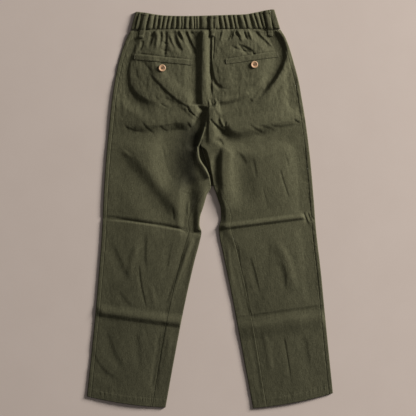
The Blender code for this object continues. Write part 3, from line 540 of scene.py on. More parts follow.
def coarse_shell(name, upper, wall, coords):
    """A closed thin body under a fine grid, whose underside has every second row and column.

    The underside lies a wall's thickness below the lowest point round it, so it never cuts
    through a sharp crease. Rows and columns are odd in number. The crest attribute says how far
    a point stands above the mean of the heights round it.
    """
    z = upper[..., 2]
    # crest: in the linen colour, paler worn crests and painted shade in the valleys
    crest = np.clip((z - windows(z, 3).mean(0)) / 1.5, -1, 1)
    lower = upper.copy()
    lower[..., 2] = np.maximum(windows(z, 1).min(0) - wall, LOWEST_INSIDE)
    lower = lower[::2, ::2]
    count, half = z.size, lower.shape[:2]
    top = grid_faces(*z.shape)
    low = grid_faces(*half, first=count, flip=True)
    high = np.arange(count).reshape(z.shape)
    base = np.arange(half[0] * half[1]).reshape(half) + count
    sides = []
    for line, under, turn in ((high[0], base[0], 1), (high[:, -1], base[:, -1], 1),
                              (high[-1], base[-1], -1), (high[:, 0], base[:, 0], -1)):
        a, b, c, d, e = line[:-2:2], line[1::2], line[2::2], under[:-1], under[1:]
        corners = np.concatenate(((a, b, d), (b, e, d), (b, c, e)), 1)
        sides.append(corners.T[:, ::turn])
    points = np.concatenate((upper.reshape(-1, 3), lower.reshape(-1, 3)))
    uv = np.concatenate((coords.reshape(-1, 2), coords[::2, ::2].reshape(-1, 2)))
    tone = np.concatenate((crest.ravel(), crest[::2, ::2].ravel()))
    return make_object(name, points, [top, low, np.concatenate(sides)], uv, tone)


# ---------------- legs
def line_rows(outer_column, inner_column):
    """Both ends' y and the sag of every row of points, evenly spaced from line to line."""
    rows = []
    for above, below in zip(LINES[:-1], LINES[1:]):
        t = np.arange(above[6])[:, None] / above[6]
        a = np.array([above[c] for c in (outer_column, inner_column, 5)], float)
        b = np.array([below[c] for c in (outer_column, inner_column, 5)], float)
        rows.append(a + t * (b - a))
    last = LINES[-1]
    rows.append(np.array([[last[outer_column], last[inner_column], last[5]]], float))
    return np.concatenate(rows)


def line_number(name):
    """Number of the row of points on a named line."""
    count = 0
    for row in LINES:
        if row[0] == name:
            return count
        count += row[6]
    raise ValueError(name)


class Leg:
    """One leg's edges and rows of points. side is -1 for the left leg and +1 for the right."""

    def __init__(self, name, side, outer, inner, inseam, columns):
        self.name, self.side = name, side
        self.outer_y, self.inner_y, self.sag = line_rows(*columns).T
        self.outer = curve_at(outer, self.outer_y)
        self.inner = curve_at(inner, self.inner_y)
        self.crotch = line_number("crotch")
        self.below = np.arange(len(self.inner)) >= self.crotch
        inset = curve_at(inseam, self.inner_y)
        self.side_seam = self.outer - side * SIDE_SEAM_INSET
        self.inner_seam = np.where(self.below, self.inner + side * inset, self.inner)

    def row_y(self, x):
        """y of every point of a grid of x, a row each: straight across the leg, with a sag."""
        u = (x - self.outer[:, None]) / (self.inner - self.outer)[:, None]
        return (self.outer_y[:, None] + u * (self.inner_y - self.outer_y)[:, None]
                + self.sag[:, None] * 4 * u * (1 - u))


BACK_COLUMNS = 151
GAP, WALL = 0.3, 0.9


def cloth_coords(leg, x, y):
    """Place in the cloth in metres: across from the leg's middle line, and down its length."""
    middle = (leg.outer + leg.inner)[:, None] / 2
    return np.stack(((x - middle) * MM, y * MM), -1)


def build_back(leg):
    """Upper layer of a leg: points from seam to seam on every row, at the cloth's height."""
    t = np.linspace(0, 1, BACK_COLUMNS)
    across = t - 0.45 / (2 * math.pi) * np.sin(2 * math.pi * t)
    start = (leg.side_seam - leg.side * GAP / 2)[:, None]
    end = (leg.inner_seam + leg.side * GAP / 2)[:, None]
    x = start + across * (end - start)
    y = leg.row_y(x)
    y[0] -= GAP / 2
    z = cloth_height(x, y)
    # the free edge at the slot curls down
    inner = abs(x - leg.inner[:, None])
    free = (~leg.below * soft_step((FORK_Y + 6 - leg.inner_y) / 12))[:, None]
    curl = 1 - np.sqrt(np.clip(1 - (1 - np.clip(inner / 2.5, 0, 1)) ** 2, 0, 1))
    z = z - (z - 3.0) * curl * free
    upper = np.stack((x, y, z), -1)
    obj = coarse_shell("cloth_back_" + leg.name, upper, WALL, cloth_coords(leg, x, y))
    # painted shade: darker colour in the crotch hollow and on the inner thighs, kept as a point
    # attribute
    painted_hollow_shade = sum(fold_rise(x, y, row) for row in HOLLOW_SHADE_ROWS)
    kept = obj.data.attributes.new("painted_hollow_shade", "FLOAT", "POINT")
    kept.data.foreach_set("value", np.concatenate((painted_hollow_shade.ravel(), painted_hollow_shade[::2, ::2].ravel())))
    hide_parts("back_" + leg.name)
    return obj


ROLL, ROLL_STEPS = 2.6, 10
INSEAM_COLUMNS = 18


def turned_edge(edge, seam, inwards, flange_columns, height_at, wall):
    """x and z, outside and inside, of the cloth from a seam on top to where it lies flat beneath.

    A flange runs straight from the seam to the roll. The roll is half an ellipse round the edge,
    ROLL wide and as high as the cloth there.
    """
    angle = np.linspace(math.pi / 2, -math.pi / 2, ROLL_STEPS)
    start = edge + inwards * ROLL
    flange = seam + np.linspace(0, 1, flange_columns + 1)[:-1] * (start - seam)
    top, half = height_at(flange), height_at(start) / 2
    x = [np.concatenate((flange, start - inwards * (ROLL - inset) * np.cos(angle)), 1)
         for inset in (0, wall)]
    z = [np.concatenate((top - inset, half + (half - inset) * np.sin(angle)), 1)
         for inset in (0, wall)]
    return np.stack(x), np.stack(z)


def build_front(leg):
    """Lower layer of a leg, flat underneath, turned up round both edges to the seams on top."""
    side = leg.side
    outer, inner = leg.outer[:, None], leg.inner[:, None]

    def height_at(x):
        return cloth_height(x, leg.row_y(x))

    outer_seam = (leg.side_seam + side * GAP / 2)[:, None]
    inner_seam = (leg.inner_seam - side * GAP / 2)[:, None]
    outer_x, outer_z = turned_edge(outer, outer_seam, -side, 5, height_at, WALL)
    inner_x, inner_z = turned_edge(inner, inner_seam, side, INSEAM_COLUMNS, height_at, WALL)
    meeting = np.where(leg.inner_y > FORK_Y, leg.inner, curve_at(FRONT_MEETING, leg.inner_y))
    stop = np.where(leg.below, leg.inner + side * ROLL, meeting + side * GAP / 2)[:, None]
    begin = outer - side * ROLL
    under = np.stack([begin + np.linspace(0, 1, 8)[1:] * (stop - begin)] * 2)
    flat = np.zeros_like(under)
    flat[1] = WALL
    x = np.concatenate((outer_x, under, inner_x[..., -2::-1]), 2)
    z = np.concatenate((outer_z, flat, inner_z[..., -2::-1]), 2)
    y = leg.row_y(x[0])
    y[0] -= GAP / 2
    outside, inside = (np.stack((x[k], y, z[k]), -1)[:, ::side] for k in (0, 1))
    keep = np.ones((len(y) - 1, y.shape[1] - 1), dtype=bool)
    keep[:leg.crotch, -(ROLL_STEPS - 1 + INSEAM_COLUMNS):] = False
    obj = shell("cloth_front_" + leg.name, outside, inside,
                cloth_coords(leg, x[0], y)[:, ::side], keep[:, ::side])
    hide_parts("front_" + leg.name)
    return obj


# ---------------- waistband
def waist_seam(x):
    """y of the waist seam."""
    return np.interp(x, (-198, 4, 176), (447, 448, 449)) + 1.5


def gather_rise(across, down):
    """Puffs of the gathered casing: rounded arches between valleys that sway down the band."""
    stops = np.array((-188, *GATHER_VALLEYS, 164.0))
    sway = 1.6 * noise(across, down * 40, 14, 26, 21) * (0.4 + down)
    place = across + sway
    k = np.clip(np.searchsorted(stops, place) - 1, 0, len(stops) - 2)
    width = stops[k + 1] - stops[k]
    t = np.clip((place - stops[k]) / width, 0, 1)
    lean = np.random.default_rng(5).uniform(-0.28, 0.28, len(stops))[k]
    t = np.clip(t + lean * t * (1 - t) * 2, 0, 1)
    return np.minimum(4.2 * width / 12, 5.0) * np.sin(math.pi * t) ** 0.75


BAND_COLUMNS, BAND_ROWS = 641, 41
BAND_LEFT, BAND_LENGTH = -192, 360.5
BAND_LOW, BAND_EDGE_HEIGHT, BAND_WALL = 4.4, 6.0, 1.0
BAND_SEAM = 12 / 374
BAND_STITCHES = (0.14, 0.93)


def band_ends(down):
    """x of the band's left and right end, at a share of its height down from its top."""
    return [top + down * (foot - top) for top, foot in zip(BAND_TOP_ENDS, BAND_FOOT_ENDS)]


def band_point(share, down):
    """Place in the band: share runs from its left end to its right, down from its top."""
    left, right = band_ends(down)
    top_x, foot_x = (ends[0] + share * (ends[1] - ends[0])
                     for ends in (BAND_TOP_ENDS, BAND_FOOT_ENDS))
    return (left + share * (right - left),
            (1 - down) * curve_at(BAND_TOP, top_x) + down * (waist_seam(foot_x) + GAP / 2))


def band_height(share, down):
    """Height of the gathered band: puffs, pinched by a stitched line near the top."""
    across = BAND_LEFT + share * BAND_LENGTH
    puff = gather_rise(across, down)
    arch = 0.42 + 0.58 * np.sin(math.pi * np.clip(down, 0.03, 0.97)) ** 0.5
    z = BAND_LOW + puff * arch
    z -= 0.8 * np.exp(-((down - BAND_STITCHES[0]) / 0.035) ** 2)
    top = np.sqrt(np.clip(1 - (1 - np.clip(down / 0.09, 0, 1)) ** 2, 0, 1))
    z = 2.6 + (z - 2.6) * (0.25 + 0.75 * top)
    z -= 1.4 * (1 - soft_step((1 - down) / 0.12))
    return np.maximum(z + 0.25 * noise(across, down * 36, 5, 9, 22), 2.8)


def build_band_back():
    """Gathered upper part of the waistband, between its two side seams."""
    share, down = np.meshgrid(np.linspace(BAND_SEAM, 1 - BAND_SEAM, BAND_COLUMNS),
                              np.linspace(0, 1, BAND_ROWS))
    x, y = band_point(share, down)
    z = band_height(share, down)
    coords = np.stack((share * 0.55, y * MM), -1)
    obj = coarse_shell("cloth_waistband_back", np.stack((x, y, z), -1), BAND_WALL, coords)
    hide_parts("waistband_back")
    return obj


def build_band_front():
    """Plain lower part of the waistband, flat underneath, turned up round both ends."""
    down = np.linspace(0, 1, 15)[:, None]
    left, right = band_ends(down)
    seams = (band_point(BAND_SEAM, down)[0] - GAP, band_point(1 - BAND_SEAM, down)[0] + GAP)

    def height_at(x):
        return np.full(x.shape, BAND_EDGE_HEIGHT)

    first_x, first_z = turned_edge(left, seams[0], 1, 5, height_at, BAND_WALL)
    last_x, last_z = turned_edge(right, seams[1], -1, 5, height_at, BAND_WALL)
    middle = left + ROLL + np.linspace(0, 1, 20)[1:-1] * (right - left - 2 * ROLL)
    middle = np.stack((middle, middle))
    flat = np.zeros_like(middle)
    flat[1] = BAND_WALL
    x = np.concatenate((first_x, middle, last_x[..., ::-1]), 2)
    z = np.concatenate((first_z, flat, last_z[..., ::-1]), 2)
    y = band_point((x[0] - left) / (right - left), down)[1]
    outside, inside = (np.stack((x[k], y, z[k]), -1)[:, ::-1] for k in (0, 1))
    obj = shell("cloth_waistband_front", outside, inside, outside[..., :2] * MM)
    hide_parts("waistband_front")
    return obj


LEFT = Leg("left", -1, LEFT_OUTER, LEFT_INNER, LEFT_INSEAM_INSET, (1, 2))
RIGHT = Leg("right", 1, RIGHT_OUTER, RIGHT_INNER, RIGHT_INSEAM_INSET, (4, 3))


# ---------------- strips, stitches, buttons
BELT_LOOPS = (
    # name, top x, y, width, foot x, y, foot width
    ("belt_loop_left", -162, 489, 16, -172, 427, 13),
    ("belt_loop_centre", 10, 482, 20, 6, 431, 11),
    ("belt_loop_right", 143, 495, 15, 152, 432, 12),
)
POCKET_WELTS = (
    # name, top left x, y, top right x, y, foot left x, y, foot right x, y
    ("pocket_welt_left", -188.5, 386.5, -45.5, 372, -189.5, 373, -46.5, 358.5),
    ("pocket_welt_right", 38.5, 374, 168, 394, 40.5, 360.5, 172, 380),
)
BUTTONS = (
    # name, x, y, turn of its holes in degrees
    ("button_left", -119, 351, 20),
    ("button_right", 111, 360, 62),
)


def surface(x, y):
    """Height of whatever cloth lies on top at a point: the waistband's puffs, or a back panel."""
    share, down = (x - BAND_LEFT) / BAND_LENGTH, np.full(x.shape, 0.5)
    for _ in range(4):
        high, low = band_point(share, 0.0)[1], band_point(share, 1.0)[1]
        down = np.clip((high - y) / (high - low), 0, 1)
        left, right = band_ends(down)
        share = (x - left) / (right - left)
    return np.where(y > low, band_height(share, down), cloth_height(x, y))


def strip(name, corners, grid, thickness, lift):
    """A strip of cloth laid on the surface, between its top and foot corners.

    Its underside follows the highest cloth near each point of a grid of rows and columns.
    thickness and lift are functions of the place across, from -1 to 1, and down, from 0 to 1.
    Returns the object and its upper points.
    """
    top_left, top_right, foot_left, foot_right = (np.array(c, float) for c in corners)
    down = np.linspace(0, 1, grid[0])[:, None, None]
    across = np.linspace(0, 1, grid[1])[None, :, None]
    place = ((1 - down) * ((1 - across) * top_left + across * top_right)
             + down * ((1 - across) * foot_left + across * foot_right))
    u, v = np.broadcast_arrays(2 * across[..., 0] - 1, down[..., 0])
    under = windows(surface(place[..., 0], place[..., 1]), 2).max(0)
    low = windows(under, 1).mean(0) + 0.2 + lift(u, v)
    high = low + thickness(u, v)
    upper, lower = (np.concatenate((place, z[..., None]), -1) for z in (high, low))
    # crest of a strip: its higher parts paler and its lower parts darker, partly wear and partly
    # painted shade
    obj = shell("cloth_" + name, upper, lower, place * MM,
                crest=np.clip((high - high.mean()) / 3, -1, 1))
    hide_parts(name)
    return obj, upper


def loop_thickness(u, v):
    """Belt loop: two folded layers with rounded edges, thicker where each end is turned in."""
    ends = 1.1 * (soft_step((0.11 - v) / 0.02) + soft_step((v - 0.89) / 0.02))
    groove = 0.3 * np.exp(-((abs(u) - 0.74) / 0.08) ** 2)
    return (1.3 + ends) * (1 - 0.6 * abs(u) ** 7) - groove


def loop_lift(u, v):
    """A belt loop stands a little off the cloth between its ends."""
    return 0.5 * np.sin(math.pi * v) ** 0.7 + 0.2 * noise(u * 4, v * 60, 2.5, 7, 31)


def welt_thickness(u, v):
    """Welt: a narrow folded strip, rounded at the mouth and thin along the seam below."""
    edge = 1 - 0.7 * abs(2 * v - 1) ** 5
    return (1.0 + 0.35 * (1 - v)) * edge * (1 - 0.5 * abs(u) ** 30)


def welt_lift(u, v):
    """The mouth edge of a welt gapes by a fraction of a millimetre between its ends."""
    return 0.7 * (1 - v) ** 2 * (1 - u ** 4) * (0.7 + 0.5 * noise(u * 70, v, 14, 9, 32))


STITCH_RINGS = ((-1.0, 0.25), (-0.82, 0.8), (-0.3, 1.0), (0.3, 1.0), (0.82, 0.8), (1.0, 0.25))


def stitches(name, lines, pitch=3.6, length=2.5, radius=0.36, turned=False, loose=0.25):
    """Rows of thread stitches in one mesh: a six-sided bead, repeated along each line of points.

    turned lays each stitch across its line, as on a bar tack.
    """
    ring = np.arange(6) * math.pi / 3
    bead = np.array([(0.5 * length * a, radius * r * math.cos(k), radius * r * math.sin(k))
                     for a, r in STITCH_RINGS for k in ring])
    quads = [(6 * i + k, 6 * i + (k + 1) % 6, 6 * i + 6 + (k + 1) % 6, 6 * i + 6 + k)
             for i in range(len(STITCH_RINGS) - 1) for k in range(6)]
    last = 6 * (len(STITCH_RINGS) - 1)
    quads += [(0, 3, 2, 1), (0, 5, 4, 3), (last, last + 1, last + 2, last + 3),
              (last, last + 3, last + 4, last + 5)]
    centres, ways = [], []
    for line in lines:
        gaps = np.linalg.norm(np.diff(line, axis=0), axis=1)
        run = np.concatenate(([0], np.cumsum(gaps)))
        at = np.arange(pitch / 2, run[-1], pitch)
        before, after = (np.stack([np.interp(at + s * length / 2, run, line[:, k])
                                   for k in range(3)], -1) for s in (-1, 1))
        centres.append((before + after) / 2)
        ways.append(after - before)
    centre, way = np.concatenate(centres), np.concatenate(ways)
    random = np.random.default_rng(len(centre))
    way = way / np.linalg.norm(way, axis=1)[:, None]
    side = np.cross((0, 0, 1), way)
    side /= np.linalg.norm(side, axis=1)[:, None]
    if turned:
        way, side = side, -way
    way = way + side * random.uniform(-loose, loose, (len(way), 1)) * 0.5
    up = np.cross(way, side)
    points = (centre[:, None] + bead[None, :, :1] * way[:, None] + bead[None, :, 1:2] * side[:, None]
              + bead[None, :, 2:] * up[:, None] + (0, 0, 0.12))
    faces = (np.array(quads)[None] + np.arange(len(centre))[:, None, None] * len(bead))
    return make_object(name, points.reshape(-1, 3), [faces.reshape(-1, 4)])


BUTTON_PROFILE = (
    # radius, height, from the middle of the dish over the rim
    (0.0, 1.9), (2.2, 1.95), (4.0, 2.05), (5.2, 2.3), (6.0, 2.65), (6.8, 2.95), (7.6, 3.0),
    (8.3, 2.75), (8.8, 2.2), (9.0, 1.5), (8.8, 0.8), (8.2, 0.3), (7.2, 0.05),
)
BUTTON_SPOKES = 96
HOLE_RING, HOLE_RADIUS, HOLE_DEPTH = 2.1, 0.95, 1.35


def build_button(name, x, y, turn):
    """A turned disc: its profile swept round, with four drilled holes as pits in the dish.

    Two pairs of threads cross it from hole to hole.
    """
    table = np.array(BUTTON_PROFILE)
    run = np.concatenate(([0], np.cumsum(np.hypot(*np.diff(table, axis=0).T))))
    at = np.concatenate((np.linspace(0.03, 4.2, 36), np.linspace(4.35, run[-1], 44)))
    radius, height = (np.interp(at, run, column) for column in table.T)
    angle = np.arange(BUTTON_SPOKES) * 2 * math.pi / BUTTON_SPOKES
    px, py = radius[:, None] * np.cos(angle), radius[:, None] * np.sin(angle)
    pz = np.repeat(height[:, None], BUTTON_SPOKES, 1)
    ways = math.radians(turn) + np.arange(4) * math.pi / 2
    holes = HOLE_RING * np.stack((np.cos(ways), np.sin(ways)), -1)
    for hole in holes:
        off = np.hypot(px - hole[0], py - hole[1])
        pz = pz - HOLE_DEPTH * (1 - soft_step((off - HOLE_RADIUS * 0.8) / (HOLE_RADIUS * 0.4)))
    gx, gy = np.meshgrid(np.linspace(-9, 9, 13), np.linspace(-9, 9, 13))
    near = np.hypot(gx, gy) <= 9.5
    bottom = surface(x + gx[near], y + gy[near]).max() + 0.1
    count = pz.size
    ring = np.arange(count).reshape(pz.shape)
    after = np.roll(ring, -1, 1)
    quads = np.stack((ring[:-1], ring[1:], after[1:], after[:-1]), -1).reshape(-1, 4)
    middle, foot = np.full(BUTTON_SPOKES, count), np.full(BUTTON_SPOKES, count + 1)
    ends = np.concatenate(((ring[0], after[0], middle), (after[-1], ring[-1], foot)), 1).T
    points = np.concatenate((np.stack((px, py, pz), -1).reshape(-1, 3),
                             ((0, 0, height[0]), (0, 0, 0)))) + (x, y, bottom)
    shade = np.concatenate((np.repeat(radius / 9, BUTTON_SPOKES), (0, 0)))
    obj = make_object("turned_" + name, points, [quads, ends], points[:, :2] * MM, shade)
    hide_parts(name)
    lines = []
    for one in (0, 1):
        for nudge in (-0.35, 0.35):
            side = np.array((-holes[one][1], holes[one][0])) / HOLE_RING * nudge
            lines.append([(*(0.98 * end + side + (x, y)), bottom + 1.5 + 0.35 * one)
                          for end in (holes[one], holes[one + 2])])
    thread = stitches("thread_" + name, np.array(lines), pitch=4.1, length=4.3, radius=0.3,
                      loose=0)
    return obj, thread


# ---------------- build every piece
LOOP_GRID, WELT_GRID = (61, 17), (15, 131)

backs = [build_back(LEFT), build_back(RIGHT)]
fronts = [build_front(LEFT), build_front(RIGHT)]
bands = [build_band_back(), build_band_front()]
strips, loop_tops, welt_tops = [], {}, {}
for name, top_x, top_y, top_width, foot_x, foot_y, foot_width in BELT_LOOPS:
    corners = ((top_x - top_width / 2, top_y), (top_x + top_width / 2, top_y),
               (foot_x - foot_width / 2, foot_y), (foot_x + foot_width / 2, foot_y))
    obj, loop_tops[name] = strip(name, corners, LOOP_GRID, loop_thickness, loop_lift)
    strips.append(obj)
for name, *ends in POCKET_WELTS:
    corners = np.reshape(ends, (4, 2))
    obj, welt_tops[name] = strip(name, corners, WELT_GRID, welt_thickness, welt_lift)
    strips.append(obj)
buttons, button_threads = zip(*(build_button(*row) for row in BUTTONS))

threads = list(button_threads)
for leg, span in ((LEFT, (-300, -112)), (RIGHT, (110, 300))):
    x = np.linspace(*span, 240)
    y = hem_line(x) + HEM_STITCHES
    threads.append(stitches("hem_stitches_" + leg.name, [np.stack((x, y, surface(x, y)), -1)]))
share = np.linspace(0.04, 0.96, 900)
band_lines = [np.stack((*band_point(share, down), band_height(share, np.full(share.shape, down))), -1)
              for down in BAND_STITCHES]
threads.append(stitches("waistband_stitches", band_lines, pitch=3.2, length=2.3))
for name, top in loop_tops.items():
    threads.append(stitches(name + "_stitches", [top[3:-3, 2], top[3:-3, -3]], pitch=3.0,
                            length=2.1, radius=0.3))
    threads.append(stitches(name + "_tacks", [top[3, 2:-2], top[-4, 2:-2]], pitch=0.75,
                            length=1.7, radius=0.32, turned=True))
for name, top in welt_tops.items():
    threads.append(stitches(name + "_stitches", [top[-2, 2:-2]], pitch=3.2, length=2.2,
                            radius=0.3))
    threads.append(stitches(name + "_tacks", [top[1:-1, 1], top[1:-1, -2]], pitch=0.8,
                            length=2.6, radius=0.34, turned=True))


# ---------------- materials
def node(tree, kind, **settings):
    """A shader node with its settings."""
    made = tree.nodes.new(kind)
    for key, value in settings.items():
        setattr(made, key, value)
    return made


def link(source, socket):
    """Wire a node's output to a socket."""
    socket.id_data.links.new(source, socket)


def maths(tree, operation, *values):
    """A Math node: each value is a number or another node's output."""
    made = node(tree, "ShaderNodeMath", operation=operation)
    for k, value in enumerate(values):
        if isinstance(value, (int, float)):
            made.inputs[k].default_value = value
        else:
            link(value, made.inputs[k])
    return made.outputs[0]


def set_inputs(target, *pairs):
    """Set a node's inputs from pairs of a label and a value."""
    for label, value in pairs:
        target.inputs[label].default_value = value


def new_material(name):
    """An empty material, its node tree and its shader."""
    material = bpy.data.materials.new(name)
    material.use_nodes = True
    return material, material.node_tree, material.node_tree.nodes["Principled BSDF"]


def stretched_noise(tree, coords, scale, detail=2.0):
    """Noise from -0.5 to 0.5, whose cells a metre are given for x, y and z."""
    grow = node(tree, "ShaderNodeVectorMath", operation="MULTIPLY")
    grow.inputs[1].default_value = scale
    link(coords, grow.inputs[0])
    made = node(tree, "ShaderNodeTexNoise", noise_dimensions="3D")
    set_inputs(made, ("Scale", 1.0), ("Detail", detail), ("Roughness", 0.6))
    link(grow.outputs[0], made.inputs["Vector"])
    return maths(tree, "SUBTRACT", made.outputs[0], 0.5)


def new_group(name, inputs, outputs):
    """An empty shader node group with its sockets."""
    group = bpy.data.node_groups.new(name, "ShaderNodeTree")
    for label, kind in inputs:
        group.interface.new_socket(label, in_out="INPUT", socket_type="NodeSocket" + kind)
    for label, kind in outputs:
        group.interface.new_socket(label, in_out="OUTPUT", socket_type="NodeSocket" + kind)
    return group, group.nodes.new("NodeGroupInput"), group.nodes.new("NodeGroupOutput")


def weighted_sum(tree, total, *parts):
    """A start value plus parts, each an output and its share."""
    for part, share in parts:
        total = maths(tree, "ADD", maths(tree, "MULTIPLY", part, share), total)
    return total


def linen_group():
    """Woven linen: thick and thin threads both ways, slubs, mottling, paler worn crests, and painted
    shade in the valleys between them.

    Tone is 0.5 for the mean colour. Relief is the height of the weave for a Bump node.
    """
    tree, given, out = new_group("linen_weave", (("Cloth", "Vector"), ("Crest wear and shade", "Float")),
                                 (("Tone", "Float"), ("Relief", "Float")))
    cloth, crest = given.outputs["Cloth"], given.outputs["Crest wear and shade"]
    warp, weft, streaks, grain, mottle, broad = (
        stretched_noise(tree, cloth, cells, detail)
        for cells, detail in (((950, 60, 1), 3), ((60, 750, 1), 3), ((300, 70, 2), 2),
                              ((340, 260, 3), 3), ((70, 38, 4), 3), ((13, 9, 5), 2)))
    split = node(tree, "ShaderNodeSeparateXYZ")
    link(cloth, split.inputs[0])
    across, along = (maths(tree, "SINE", maths(tree, "MULTIPLY", place, 2 * math.pi / pitch))
                     for place, pitch in zip(split.outputs, (0.0009, 0.0010)))
    weave = maths(tree, "MULTIPLY", across, along)
    # crest share: paler worn crests, and painted shade in the valleys
    tone = weighted_sum(tree, 0.5, (warp, 0.55), (weft, 0.34), (streaks, 0.8), (grain, 0.95),
                        (mottle, 0.42), (broad, 0.4), (weave, 0.05), (crest, 0.13))
    link(maths(tree, "MAXIMUM", maths(tree, "MINIMUM", tone, 1.0), 0.0),
                   out.inputs["Tone"])
    relief = weighted_sum(tree, maths(tree, "MULTIPLY", weave, 0.12), (warp, 0.5), (weft, 0.4),
                          (grain, 0.9), (streaks, 0.7))
    link(relief, out.inputs["Relief"])
    return tree


def hem_tone_and_side_light_group():
    """Scale of the cloth colour by place: darker towards the hems, and painted light from the lamp's
    side, darker on the left and lighter on the right.
    """
    tree, given, out = new_group("hem_tone_and_side_light", (("Place", "Vector"),), (("Shade", "Float"),))
    split = node(tree, "ShaderNodeSeparateXYZ")
    link(given.outputs["Place"], split.inputs[0])
    shades = []
    # y ramp: darker towards the hems; x ramp: painted light, darker to the left and lighter to the
    # right
    for axis, start, stop, low, high in ((1, -0.46, 0.2, 0.74, 1.02), (0, -0.25, 0.25, 0.95, 1.05)):
        ramp = node(tree, "ShaderNodeMapRange", interpolation_type="SMOOTHSTEP")
        set_inputs(ramp, ("From Min", start), ("From Max", stop), ("To Min", low), ("To Max", high))
        link(split.outputs[axis], ramp.inputs["Value"])
        shades.append(ramp.outputs[0])
    link(maths(tree, "MULTIPLY", *shades), out.inputs["Shade"])
    return tree


WEAVE, HEM_TONE_AND_SIDE_LIGHT = linen_group(), hem_tone_and_side_light_group()


def use_group(tree, group, *sources):
    """A group node with its inputs wired, in their order."""
    made = node(tree, "ShaderNodeGroup", node_tree=group)
    for socket, source in zip(made.inputs, sources):
        link(source, socket)
    return made


def blend(tree, factor, dark, light):
    """A colour between two, by a factor. Each is a value or another node's output."""
    made = node(tree, "ShaderNodeMix", data_type="RGBA")
    for k, source in ((0, factor), (6, dark), (7, light)):
        if isinstance(source, tuple):
            made.inputs[k].default_value = (*source, 1)
        elif isinstance(source, float):
            made.inputs[k].default_value = source
        else:
            link(source, made.inputs[k])
    return made.outputs[2]


def linen_material(name, dark, light, uv=True):
    """Matt linen with its weave, painted shade in its hollows and valleys, darker towards the hems,
    painted light from the right, soft sheen and bump.
    """
    material, tree, shader = new_material(name)
    coords = node(tree, "ShaderNodeTexCoord")
    crest = node(tree, "ShaderNodeAttribute", attribute_name="crest")
    painted_hollow_shade = node(tree, "ShaderNodeAttribute", attribute_name="painted_hollow_shade")
    weave = use_group(tree, WEAVE, coords.outputs["UV" if uv else "Object"], crest.outputs["Fac"])
    # colour scale: darker towards the hems, with painted light from the right
    hem_tone_and_side_light = use_group(tree, HEM_TONE_AND_SIDE_LIGHT, coords.outputs["Object"])
    shade = node(tree, "ShaderNodeVectorMath", operation="SCALE")
    link(blend(tree, weave.outputs["Tone"], dark, light), shade.inputs[0])
    # painted shade: the colour is darkened by the painted hollow share
    kept = maths(tree, "SUBTRACT", 1.0, painted_hollow_shade.outputs["Fac"])
    link(maths(tree, "MULTIPLY", hem_tone_and_side_light.outputs["Shade"], kept), shade.inputs["Scale"])
    link(shade.outputs[0], shader.inputs["Base Color"])
    bump = node(tree, "ShaderNodeBump")
    set_inputs(bump, ("Strength", 0.55), ("Distance", 0.0007))
    link(weave.outputs["Relief"], bump.inputs["Height"])
    link(bump.outputs[0], shader.inputs["Normal"])
    link(maths(tree, "SUBTRACT", 1.0, maths(tree, "MULTIPLY", weave.outputs["Tone"], 0.16)),
                   shader.inputs["Roughness"])
    set_inputs(shader, ("Specular IOR Level", 0.25), ("Sheen Weight", 0.12),
               ("Sheen Roughness", 0.45), ("Sheen Tint", (0.85, 0.84, 0.62, 1)))
    return material


HORN_RINGS = (
    # share of the radius, colour
    (0.0, (0.24, 0.125, 0.065)), (0.4, (0.40, 0.22, 0.12)), (0.66, (0.60, 0.36, 0.205)),
    (0.85, (0.62, 0.40, 0.235)), (1.0, (0.30, 0.165, 0.09)),
)


def horn_material():
    """Satin horn: dark in the dish, peach at the rim, with fine curved streaks."""
    material, tree, shader = new_material("horn")
    ramp = node(tree, "ShaderNodeValToRGB")
    stops = ramp.color_ramp.elements
    while len(stops) < len(HORN_RINGS):
        stops.new(0.5)
    for stop, (place, colour) in zip(stops, HORN_RINGS):
        stop.position = place
        stop.color = (*colour, 1)
    radius = node(tree, "ShaderNodeAttribute", attribute_name="crest")
    link(radius.outputs["Fac"], ramp.inputs[0])
    place = node(tree, "ShaderNodeTexCoord").outputs["Object"]
    streak = stretched_noise(tree, place, (900, 260, 300), 3)
    factor = maths(tree, "ADD", maths(tree, "MULTIPLY", streak, 1.6), 0.35)
    streaked = blend(tree, factor, ramp.outputs[0], (0.66, 0.44, 0.28))
    link(blend(tree, 0.35, ramp.outputs[0], streaked), shader.inputs["Base Color"])
    set_inputs(shader, ("Roughness", 0.42), ("Coat Weight", 0.08), ("Coat Roughness", 0.3))
    return material


def floor_material():
    """Pale matt paper-like surface with soft mottling and a fine grain."""
    material, tree, shader = new_material("pale_floor")
    place = node(tree, "ShaderNodeTexCoord").outputs["Object"]
    tone = weighted_sum(tree, 0.5, (stretched_noise(tree, place, (7, 7, 1), 4), 0.6),
                        (stretched_noise(tree, place, (420, 420, 1), 2), 0.5))
    link(blend(tree, tone, (0.565, 0.478, 0.428), (0.645, 0.556, 0.505)),
                   shader.inputs["Base Color"])
    set_inputs(shader, ("Roughness", 0.95), ("Specular IOR Level", 0.1))
    return material


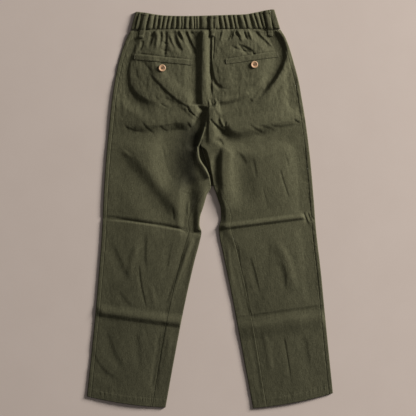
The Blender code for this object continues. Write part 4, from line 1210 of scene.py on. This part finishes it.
LINEN = linen_material("linen", (0.036, 0.035, 0.0175), (0.120, 0.115, 0.064))
THREAD = linen_material("linen_thread", (0.060, 0.057, 0.032), (0.165, 0.158, 0.100), uv=False)
HORN = horn_material()

for piece, material, slot in (
        *((p, LINEN, "linen") for p in (*backs, *fronts, *bands, *strips)),
        *((p, THREAD, "linen") for p in threads),
        *((p, HORN, "horn") for p in buttons)):
    piece.data.materials.append(material)
    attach(piece, "root")

# ---------------- floor, light and camera
FLOOR, FLOOR_Z = 6, -0.0003
floor_mesh = bpy.data.meshes.new("floor")
floor_mesh.from_pydata([(x, y, FLOOR_Z) for x, y in ((-FLOOR, -FLOOR), (FLOOR, -FLOOR),
                                                     (FLOOR, FLOOR), (-FLOOR, FLOOR))],
                       [], [(0, 1, 2, 3)])
floor = bpy.data.objects.new("floor", floor_mesh)
bpy.context.scene.collection.objects.link(floor)
floor_mesh.materials.append(floor_material())

scene = bpy.context.scene
scene.view_settings.view_transform = "Standard"
scene.view_settings.look = "None"
world = bpy.data.worlds.new("studio")
world.use_nodes = True
set_inputs(world.node_tree.nodes["Background"], ("Color", (1.0, 0.97, 0.95, 1)), ("Strength", 0.13))
scene.world = world

KEY_PLACE = (6.97, 3.86, 2.67)
key_light = bpy.data.lights.new("key", "AREA")
key_light.shape, key_light.size = "SQUARE", 2.4
key_light.energy, key_light.color = 1450, (1.0, 0.97, 0.93)
key = bpy.data.objects.new("key", key_light)
key.location = KEY_PLACE
key.rotation_euler = (math.atan2(math.hypot(*KEY_PLACE[:2]), KEY_PLACE[2]), 0,
                      math.atan2(-KEY_PLACE[1], -KEY_PLACE[0]) - math.pi / 2)
scene.collection.objects.link(key)

LENS_MM, SENSOR_MM, FRAME_M = 100.0, 36.0, 1.04
camera_data = bpy.data.cameras.new("camera")
camera_data.lens = LENS_MM
camera_data.sensor_width = SENSOR_MM
camera = bpy.data.objects.new("camera", camera_data)
camera.location = (-0.00475, 0.00225, FRAME_M * LENS_MM / SENSOR_MM + 0.006)
scene.collection.objects.link(camera)
scene.camera = camera
